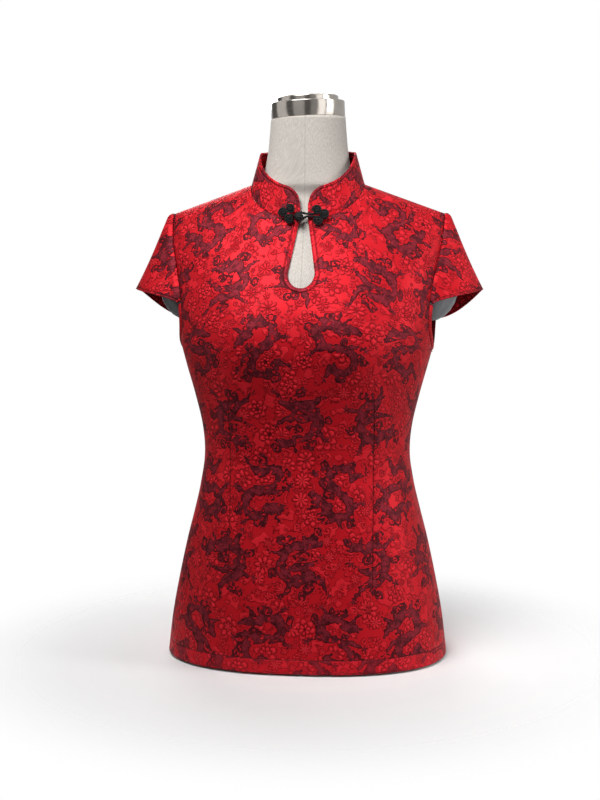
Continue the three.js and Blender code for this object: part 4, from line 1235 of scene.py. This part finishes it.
def add_knot(bm):
    """A ball knot: hoops of cord woven round a core."""
    hoop = np.linspace(0, 2 * math.pi, HOOP_STEPS + 1)
    core = KNOT_RADIUS - KNOT_SET_IN
    wave = KNOT_WAVE * np.sin(KNOT_WAVES * hoop)
    ring = np.stack([core * np.cos(hoop), core * np.sin(hoop), wave], axis=-1)
    for tilt, spin in KNOT_HOOPS:
        stood = Matrix.Rotation(math.radians(90 - tilt), 3, "X")
        turned = np.array(Matrix.Rotation(math.radians(spin), 3, "Y") @ stood)
        round_cord(bm, np.array(KNOT) + ring @ turned.T, KNOT_CORD)
    seat = Matrix.Translation(Vector(KNOT) * MM)
    bmesh.ops.create_uvsphere(bm, **BALL_GRAIN, radius=core * MM, matrix=seat)


spiral = lengths_along(coil_path((0, 0, 0), 0)[None], 1)
print(f"{spiral[0, -1]:.0f} mm of cord in a coil")

# %% The two sides of the frog
# Each coil has a centre, and the turn at which its spiral starts.
BUTTON_COILS = [
    ((-25.5, -61.6, 573.8), 2.4), ((-16.8, -61.4, 578.8), 0.9), ((-17.5, -63.2, 566.2), 4.4),
]
LOOP_COILS = [
    ((16.6, -61.4, 577.1), 1.9), ((26.8, -61.6, 571.9), 3.6), ((18.3, -63.2, 564.4), 5.2),
]
STEM_RADIUS, STEM_STEPS, LOOP_RADIUS, LOOP_STEPS = 1.2, 24, 1.45, 72
STEM_ROUTE = [(-5.2, -64.4, 568.4), (-5.8, -60.6, 568.9), (-8.4, -59.3, 569),
              (-12, -60, 569.8), (-15.6, -61.8, 571)]
LOOP_ROUTE = [(17.5, -61.6, 572.4), (10, -61.6, 572.2), (3, -61.7, 572.4), (-3, -61.6, 573.8),
              (-8.2, -61.7, 572.4), (-9.9, -61.7, 569.2), (-8.2, -61.7, 565.6),
              (-3.5, -61.6, 564.2), (3, -61.7, 568.6), (10, -61.6, 569), (17.5, -61.8, 568.4)]
CORD_MERGE = 0.0001


def make_frog_side(name, coils, route, steps, radius, knotted):
    bm = bmesh.new()
    for centre, start_turn in coils:
        add_coil(bm, centre, start_turn)
    round_cord(bm, smooth_path(route, steps), radius)
    if knotted:
        add_knot(bm)
    finish_piece(bm, name + "_cord", satin_cord, name, CORD_MERGE)


make_frog_side("frog_button", BUTTON_COILS, STEM_ROUTE, STEM_STEPS, STEM_RADIUS, True)
make_frog_side("frog_loop", LOOP_COILS, LOOP_ROUTE, LOOP_STEPS, LOOP_RADIUS, False)

# %% [markdown]
# ## The dress form's linen
#
# The form is covered with tightly stretched linen, sewn together down the middle of the
# front. Linen yarn is uneven, so the weave is broken up by slubs. A scanned weave could be
# wrapped round the form, but two crossed waves keep the threads sharp at any distance.

# %% Linen
LINEN_THREAD, SEAM_TINT, SEAM_DEPTH = 2.1, 0.35, 1.5
SLUB_STRETCH, SLUB_DETAIL, FLECK_SCALE, FLECK_DETAIL = (0.9, 0.16, 1), 3.0, 0.55, 2.0
MOTTLE_RANGE, SEAM_LINE, LINEN_RELIEF = (0.14, 0.36), (0.9, 0.1), (0.2, 0.0003)


def make_linen():
    """Plain weave, drawn at 2.1 mm for two threads so that it shows, with slubs and a seam."""
    material, node = new_material("stretched_linen")
    place_mm = node("VectorMath.SCALE", node("TexCoord", out="Object"), Scale=1000)
    cloth = node("VectorMath.SCALE", node("UVMap", uv_map="UVMap"), Scale=1000)
    u, v, _ = node("SeparateXYZ", cloth, out=None)
    warp = node("Math.SINE", node("Math.MULTIPLY", u, 2 * math.pi / LINEN_THREAD))
    weft = node("Math.SINE", node("Math.MULTIPLY", v, 2 * math.pi / LINEN_THREAD))
    weave = node("Math.MULTIPLY_ADD", node("Math.MULTIPLY", warp, weft), 0.5, 0.5)
    stretched = node("VectorMath.MULTIPLY", cloth, SLUB_STRETCH)
    slub = node("TexNoise", stretched, Scale=1.0, Detail=SLUB_DETAIL)
    fleck = node("TexNoise", cloth, Scale=FLECK_SCALE, Detail=FLECK_DETAIL)
    mottle = node("MapRange", node("Math.MULTIPLY", slub, fleck), *MOTTLE_RANGE)
    tint = node("MixRGB", mottle, colour("#aca59d"), colour("#c4bfb8"))
    x, _, _ = node("SeparateXYZ", place_mm, out=None)
    seam = node("MapRange.SMOOTHSTEP", node("Math.ABSOLUTE", x), *SEAM_LINE)
    tint = node("MixRGB", node("Math.MULTIPLY", seam, SEAM_TINT), tint, colour("#837b73"))
    height = node("Math.MULTIPLY_ADD", seam, -SEAM_DEPTH, node("Math.ADD", weave, mottle))
    relief = node("Bump", *LINEN_RELIEF, None, height)
    surface = node("BsdfPrincipled", tint, Roughness=0.9, Normal=relief, Sheen_Weight=0.1)
    node("OutputMaterial", surface)
    print("finish:", material.name, "with threads", LINEN_THREAD, "mm apart")
    return material


linen = make_linen()

# %% [markdown]
# ## Steel and plastic
#
# The neck cap is stainless steel turned on a lathe and buffed, which leaves faint rings
# round it and smears of uneven gloss. The arm plates are moulded plastic with the even
# fine grain of their mould. Both patterns read Object coordinates, because nothing here
# is bent or stretched, and a solid pattern has no seam.

# %% Steel and plastic
RING_STRETCH = (0.02, 0.02, 2.2)
SMEAR_SCALE, MOULD_GRAIN, CLOUD_SIZE = 0.06, 1.5, 30
STEEL_RANGE, STEEL_ROUGH = (0.7, 1.3), (0.09, 0.24)
PLASTIC_RANGE, PLASTIC_ROUGH, HARD_RELIEF = (0.3, 0.7), (0.32, 0.42), (0.12, 0.0002)


def make_steel():
    """Stainless steel turned on a lathe and buffed: faint rings round it and soft smears."""
    material, node = new_material("turned_stainless_steel")
    place_mm = node("VectorMath.SCALE", node("TexCoord", out="Object"), Scale=1000)
    turned = node("VectorMath.MULTIPLY", place_mm, RING_STRETCH)
    rings = node("TexNoise", turned, Scale=1.0, Detail=3.0)
    smear = node("TexNoise", place_mm, Scale=SMEAR_SCALE, Detail=2.0)
    rough = node("MapRange", node("Math.ADD", rings, smear), *STEEL_RANGE, *STEEL_ROUGH)
    tint = node("MixRGB", smear, colour("#cfc8c0"), colour("#b8b0a7"))
    relief = node("Bump", *HARD_RELIEF, None, rings)
    node("OutputMaterial", node("BsdfPrincipled", tint, 1.0, rough, Normal=relief))
    return material


def make_plate_plastic():
    """Moulded ABS: an even fine grain from the mould, drawn at 1.5 mm, and soft gloss."""
    material, node = new_material("grey_moulded_abs")
    place_mm = node("VectorMath.SCALE", node("TexCoord", out="Object"), Scale=1000)
    grain = node("TexNoise", place_mm, Scale=1 / MOULD_GRAIN, Detail=1.0)
    cloud = node("TexNoise", place_mm, Scale=1 / CLOUD_SIZE, Detail=2.0)
    tint = node("MixRGB", cloud, colour("#74777b"), colour("#8c9094"))
    relief = node("Bump", *HARD_RELIEF, None, grain)
    rough = node("MapRange", cloud, *PLASTIC_RANGE, *PLASTIC_ROUGH)
    node("OutputMaterial", node("BsdfPrincipled", tint, Roughness=rough, IOR=1.54, Normal=relief))
    return material


steel, plate_plastic = make_steel(), make_plate_plastic()
print("finishes:", steel.name, "and", plate_plastic.name)

# %% [markdown]
# ## The torso
#
# Only the form's neck and a little of its chest and underside show, but it is built whole
# because it holds the top up. It could be the cloth's mesh made smaller, but that would
# keep the keyhole. Its rings are the body's own sections instead, set back by the cloth
# and some air, and blended into a round neck.

# %% The torso
TORSO_SECTIONS = np.array([
    # height, half the width, clearance under the cloth
    (0, 175.5, 7.5), (50, 170, 6.5), (100, 162, 5.5), (150, 152.5, 4.5), (190, 143, 3.8),
    (225, 135, 3.2), (263, 129.6, 2.8), (300, 132, 2.6), (340, 140.6, 2.4), (380, 150, 2.6),
    (412, 155.5, 3), (446, 157.5, 2), (488, 158, 1.5), (531, 158.5, 1.2), (556, 158, 1.5),
    (568, 156.5, 1.7), (575, 154, 1.9),
])
TORSO_DROP = 2.6
NECK_SECTIONS = np.array([
    # height, half the width, front, back
    (600, 71.6, -45.6, 72.6), (609, 65, -45.1, 67.1), (616, 60.1, -44.6, 62.6),
    (624, 57.3, -43.7, 59.6), (636, 54.5, -43, 57.7), (652, 51.6, -42, 56.1),
    (672, 49.6, -41, 55.7), (694.5, 47.8, -40, 55.7),
])
NECK_BLEND = (588, 611)
NECK_TOP_Z, NECK_TOP_Y, NECK_TILT = 694.5, 8, 2.3
TORSO_COLUMNS = 128
# Rings lie closest where the shoulders turn into the neck.
TORSO_HEIGHTS = np.concatenate([
    np.linspace(0, 560, 72), np.linspace(563, 611, 25), np.linspace(614, NECK_TOP_Z, 34),
])

torso_width = curve(TORSO_SECTIONS[:, 0], TORSO_SECTIONS[:, 1])
torso_clear = curve(TORSO_SECTIONS[:, 0], TORSO_SECTIONS[:, 2])
neck_width, neck_front, neck_back = (
    curve(NECK_SECTIONS[:, 0], NECK_SECTIONS[:, k]) for k in (1, 2, 3))


def torso_ring(z):
    """One level ring. Above the shoulder tips its width follows the slope of the shoulders."""
    turn = -2 * math.pi * (np.arange(TORSO_COLUMNS) + 0.5) / TORSO_COLUMNS
    share = np.arcsin(np.abs(np.sin(turn))) / QUARTER
    slope = (SHOULDER_TIP_X - SIDE_NECK_X) / (SHOULDER_TIP_Z - SIDE_NECK_Z)
    sloping = SIDE_NECK_X + (z + TORSO_DROP - SIDE_NECK_Z) * slope
    width = torso_width(z) if z <= TORSO_SECTIONS[-1, 0] else sloping
    x, y = np.zeros_like(turn), np.zeros_like(turn)
    middle, half = (neck_front(z) + neck_back(z)) / 2, (neck_back(z) - neck_front(z)) / 2
    blend = smooth(*NECK_BLEND, z)
    for face, here in ((FRONT, np.cos(turn) < 0), (BACK, np.cos(turn) >= 0)):
        s = share[here]
        wide = across(face, s, width)
        deep = (face.depth(z) - CLOTH - torso_clear(z)) * np.cos(s * QUARTER) ** (2 / face.power)
        full = face.sign * (deep + bust_crown(face, wide, z))
        body_y = mix(SHOULDER_SEAM_Y, full, shoulder_share(face, wide, z, TORSO_DROP))
        x[here] = mix(wide, neck_width(z) * np.sin(s * QUARTER), blend)
        y[here] = mix(body_y, middle + face.sign * half * np.cos(s * QUARTER), blend)
    return np.stack([np.sign(np.sin(turn)) * x, y, np.full_like(turn, z)], axis=-1)


def make_torso():
    rings = np.array([torso_ring(z) for z in TORSO_HEIGHTS])
    # The neck is cut off at a slant.
    rings[-1, :, 2] += rings[-1, :, 0] * math.tan(math.radians(NECK_TILT))
    bm = bmesh.new()
    closed_tube(bm, rings)
    bmesh.ops.recalc_face_normals(bm, faces=bm.faces)
    return finish_piece(bm, "form_torso_cover", linen, "form_torso")


torso = make_torso()

# %% [markdown]
# ## The neck cap
#
# The cap is turned from one piece of steel: a drum with a lower, narrower disc on top.
# Cylinders could be stacked, but a spun profile gives the rounded edges in one go, and
# those edges catch the light.

# %% Neck cap
CAP_RADIUS, CAP_HEIGHT, CAP_CHAMFER, CAP_EDGE = 47.3, 20.5, 0.5, 1.2
DISC_RADIUS, DISC_HEIGHT, CAP_DOME, DOME_STEPS = 39.5, 6.5, 3.5, 12
SPIN_STEPS, CAP_EDGE_ANGLE = 160, 50


def arc_points(centre, radius, start, end, steps):
    turn = np.radians(np.linspace(start, end, steps + 1))
    return [(centre[0] + radius * math.cos(a), centre[1] + radius * math.sin(a)) for a in turn]


def make_neck_cap():
    top = CAP_HEIGHT + DISC_HEIGHT
    dome = np.linspace(0, QUARTER, DOME_STEPS + 1)[1:]
    profile = [(0, 0), (CAP_RADIUS - CAP_CHAMFER, 0), (CAP_RADIUS, CAP_CHAMFER),
               *arc_points((CAP_RADIUS - CAP_EDGE, CAP_HEIGHT - CAP_EDGE), CAP_EDGE, 0, 90, 5),
               (DISC_RADIUS, CAP_HEIGHT),
               *arc_points((DISC_RADIUS - CAP_EDGE, top - CAP_EDGE), CAP_EDGE, 0, 90, 5),
               *[((DISC_RADIUS - CAP_EDGE) * math.cos(a), top + CAP_DOME * math.sin(a)) for a in dome]]
    bm = bmesh.new()
    verts = [bm.verts.new((r * MM, 0, h * MM)) for r, h in profile]
    edges = [bm.edges.new(pair) for pair in zip(verts, verts[1:])]
    bmesh.ops.spin(bm, geom=verts + edges, cent=(0, 0, 0), axis=(0, 0, 1), dvec=(0, 0, 0),
                   angle=2 * math.pi, steps=SPIN_STEPS, use_merge=True, use_duplicate=False)
    bmesh.ops.remove_doubles(bm, verts=bm.verts, dist=FINE_MERGE * MM)
    bmesh.ops.recalc_face_normals(bm, faces=bm.faces)
    tilt = Matrix.Rotation(-math.radians(NECK_TILT), 4, "Y")
    seat = Matrix.Translation(Vector((0, NECK_TOP_Y, NECK_TOP_Z + SEAM_GAP)) * MM)
    bm.transform(seat @ tilt)
    cap = finish_piece(bm, "neck_cap_turned", steel, "neck_cap", FINE_MERGE)
    cap.data.set_sharp_from_angle(angle=math.radians(CAP_EDGE_ANGLE))


make_neck_cap()

# %% [markdown]
# ## The arm plates
#
# A moulded plate closes each arm hole of the form and shows a little below the sleeve.
# The solid already has its true shape, so a copy of its mesh is welded and smoothed, and
# only its sharp rim is kept sharp.

# %% Arm plates
PLATE_EDGE_ANGLE = 40


def make_arm_plate(name):
    bm = bmesh.new()
    bm.from_mesh(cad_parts[name].data)
    plate = finish_piece(bm, name + "_moulded", plate_plastic, name)
    plate.data.set_sharp_from_angle(angle=math.radians(PLATE_EDGE_ANGLE))


for side in ("left", "right"):
    make_arm_plate("arm_plate_" + side)

# %% [markdown]
# ## The camera
#
# The camera is far off with a long lens, as in catalogue work, so that the top keeps its
# proportions. It looks slightly down, and stands a little towards the wearer's left.

# %% Camera
CAMERA_DISTANCE, CAMERA_HEIGHT, CAMERA_PITCH, CAMERA_TURN = 1800, 534, 6.4, 5.0
FOCAL_PIXELS, IMAGE_HEIGHT, AXIS_PIXEL, MIDDLE_PIXEL = 1385, 800, 307.7, 300

camera = bpy.data.objects.new("camera", bpy.data.cameras.new("camera"))
bpy.context.scene.collection.objects.link(camera)
bpy.context.scene.camera = camera
camera.data.lens = FOCAL_PIXELS / IMAGE_HEIGHT * camera.data.sensor_width
aside = math.atan((AXIS_PIXEL - MIDDLE_PIXEL) / FOCAL_PIXELS)
turn = math.radians(CAMERA_TURN)
camera.location = Vector((math.sin(turn), -math.cos(turn), 0)) * CAMERA_DISTANCE * MM
camera.location.z = CAMERA_HEIGHT * MM
camera.rotation_euler = (math.radians(90 - CAMERA_PITCH), 0, turn + aside)
print("lens", round(camera.data.lens, 1), "mm")

# %% [markdown]
# ## The floor
#
# The form stands on a plain pale floor. An endless floor would show a horizon, so this
# one fades out to the white backdrop not far from the form, once it has caught the shadow.

# %% Floor
FLOOR_REACH, FLOOR_WHOLE, FLOOR_GONE = 6, 0.16, 0.5


def make_stage():
    """A pale floor that is fully there under the form and fades out further off."""
    bm = bmesh.new()
    bmesh.ops.create_grid(bm, x_segments=1, y_segments=1, size=FLOOR_REACH)
    mesh = bpy.data.meshes.new("floor")
    bm.to_mesh(mesh)
    bm.free()
    material, node = new_material("pale_floor")
    away = node("VectorMath.LENGTH", node("TexCoord", out="Object"), out="Value")
    matt = node("BsdfPrincipled", colour("#ececec"), Roughness=0.9)
    share = node("MapRange.SMOOTHSTEP", away, FLOOR_WHOLE, FLOOR_GONE)
    node("OutputMaterial", node("MixShader", share, matt, node("BsdfTransparent")))
    mesh.materials.append(material)
    floor = bpy.data.objects.new("floor", mesh)
    bpy.context.scene.collection.objects.link(floor)
    print("floor fades out by", FLOOR_GONE, "m")


make_stage()

# %% [markdown]
# ## The studio round it
#
# A studio is white where the camera looks, dim and soft where it lights the cloth, and
# full of bright and dark panels where polished steel mirrors it. Real panels could stand
# round the form. Here the world gives each kind of ray its own brightness instead, so that
# the steel gets its upright bands and the cloth isn't lit twice.

# %% The world
SOFT_LIGHT, BACKDROP, DIM_ROOM, PANEL_BLUR = 0.17, 1.0, 0.12, 1.5
LIGHT_FADES_IN = (-0.5, 0.5)
Reflection = namedtuple("Reflection", "start end brightness")
# Degrees round from the front towards the right.
REFLECTED_PANELS = [
    Reflection(38, 62, 1.5), Reflection(66, 94, 1.5), Reflection(97, 180, 0.42),
    Reflection(14, 36, 0.2), Reflection(-42, -6, 0.36), Reflection(-108, -66, 0.62),
    Reflection(-180, -142, 0.34),
]


def make_world():
    """Soft light from all round, panels for polished metal to mirror, and a white backdrop."""
    world = bpy.data.worlds.new("studio")
    bpy.context.scene.world = world
    world.use_nodes = True
    world.node_tree.nodes.clear()
    node = partial(add_node, world.node_tree)
    x, y, up = node("SeparateXYZ", node("TexCoord", out="Generated"), out=None)
    round_it = node("Math.ARCTAN2", x, node("Math.MULTIPLY", y, -1))
    degrees = node("Math.MULTIPLY", round_it, 180 / math.pi)
    mirrored = DIM_ROOM
    for start, end, brightness in REFLECTED_PANELS:
        after = node("MapRange.SMOOTHSTEP", degrees, start - PANEL_BLUR, start + PANEL_BLUR)
        before = node("MapRange.SMOOTHSTEP", degrees, end + PANEL_BLUR, end - PANEL_BLUR)
        inside = node("Math.MULTIPLY", after, before)
        mirrored = node("Math.MULTIPLY_ADD", inside, brightness, mirrored)
    # Less light comes up from below than down from above.
    soft_light = node("MapRange", up, *LIGHT_FADES_IN, 0, SOFT_LIGHT)
    soft = node("Background", colour("#ffffff"), soft_light)
    panels = node("Background", colour("#ffffff"), mirrored)
    white = node("Background", colour("#ffffff"), BACKDROP)
    seen, mirror = node("LightPath", out="Is Camera Ray"), node("LightPath", out="Is Glossy Ray")
    node("OutputWorld", node("MixShader", seen, node("MixShader", mirror, soft, panels), white))


make_world()
# Standard keeps the strong red as it is, where the default view washes bright red out.
bpy.context.scene.view_settings.view_transform = "Standard"
print(len(REFLECTED_PANELS), "panels for the steel to mirror")

# %% [markdown]
# ## The lights
#
# Satin shows a broad sheen under a large light and a hot spot under a small one, so all
# three lights are softboxes. The key hangs high in front with a grid on it, which keeps
# its light on the chest and lets the waist fall into shade. Places are in metres.

# %% Softboxes
Softbox = namedtuple("Softbox", "name place aim width height watts spread")
SOFTBOXES = [
    Softbox("key", (-0.27, -0.62, 1.35), (0, -0.1, 0.58), 0.8, 0.55, 3.4, 66),
    Softbox("side", (1.5, -0.35, 0.75), (0, 0, 0.35), 0.35, 1.2, 13, 180),
    Softbox("back", (-0.5, 1.8, 1.3), (0, 0, 0.4), 1.0, 1.0, 16, 180),
]


def hang_softbox(box):
    """A spread below 180 degrees stands for a grid, which narrows the light."""
    light = bpy.data.lights.new(box.name, "AREA")
    light.shape = "RECTANGLE"
    light.size, light.size_y = box.width, box.height
    light.energy = box.watts
    light.spread = math.radians(box.spread)
    lamp = bpy.data.objects.new(box.name, light)
    lamp.location = box.place
    ahead = Vector(box.aim) - Vector(box.place)
    lamp.rotation_euler = ahead.to_track_quat("-Z", "Y").to_euler()
    bpy.context.scene.collection.objects.link(lamp)


for box in SOFTBOXES:
    hang_softbox(box)
print("lights:", ", ".join(box.name for box in SOFTBOXES))

# %% [markdown]
# ## The pieces of cloth, and finish
#
# The pieces of cloth are counted.

print("pieces of cloth:", 3 + len(sleeves) + len(bindings))
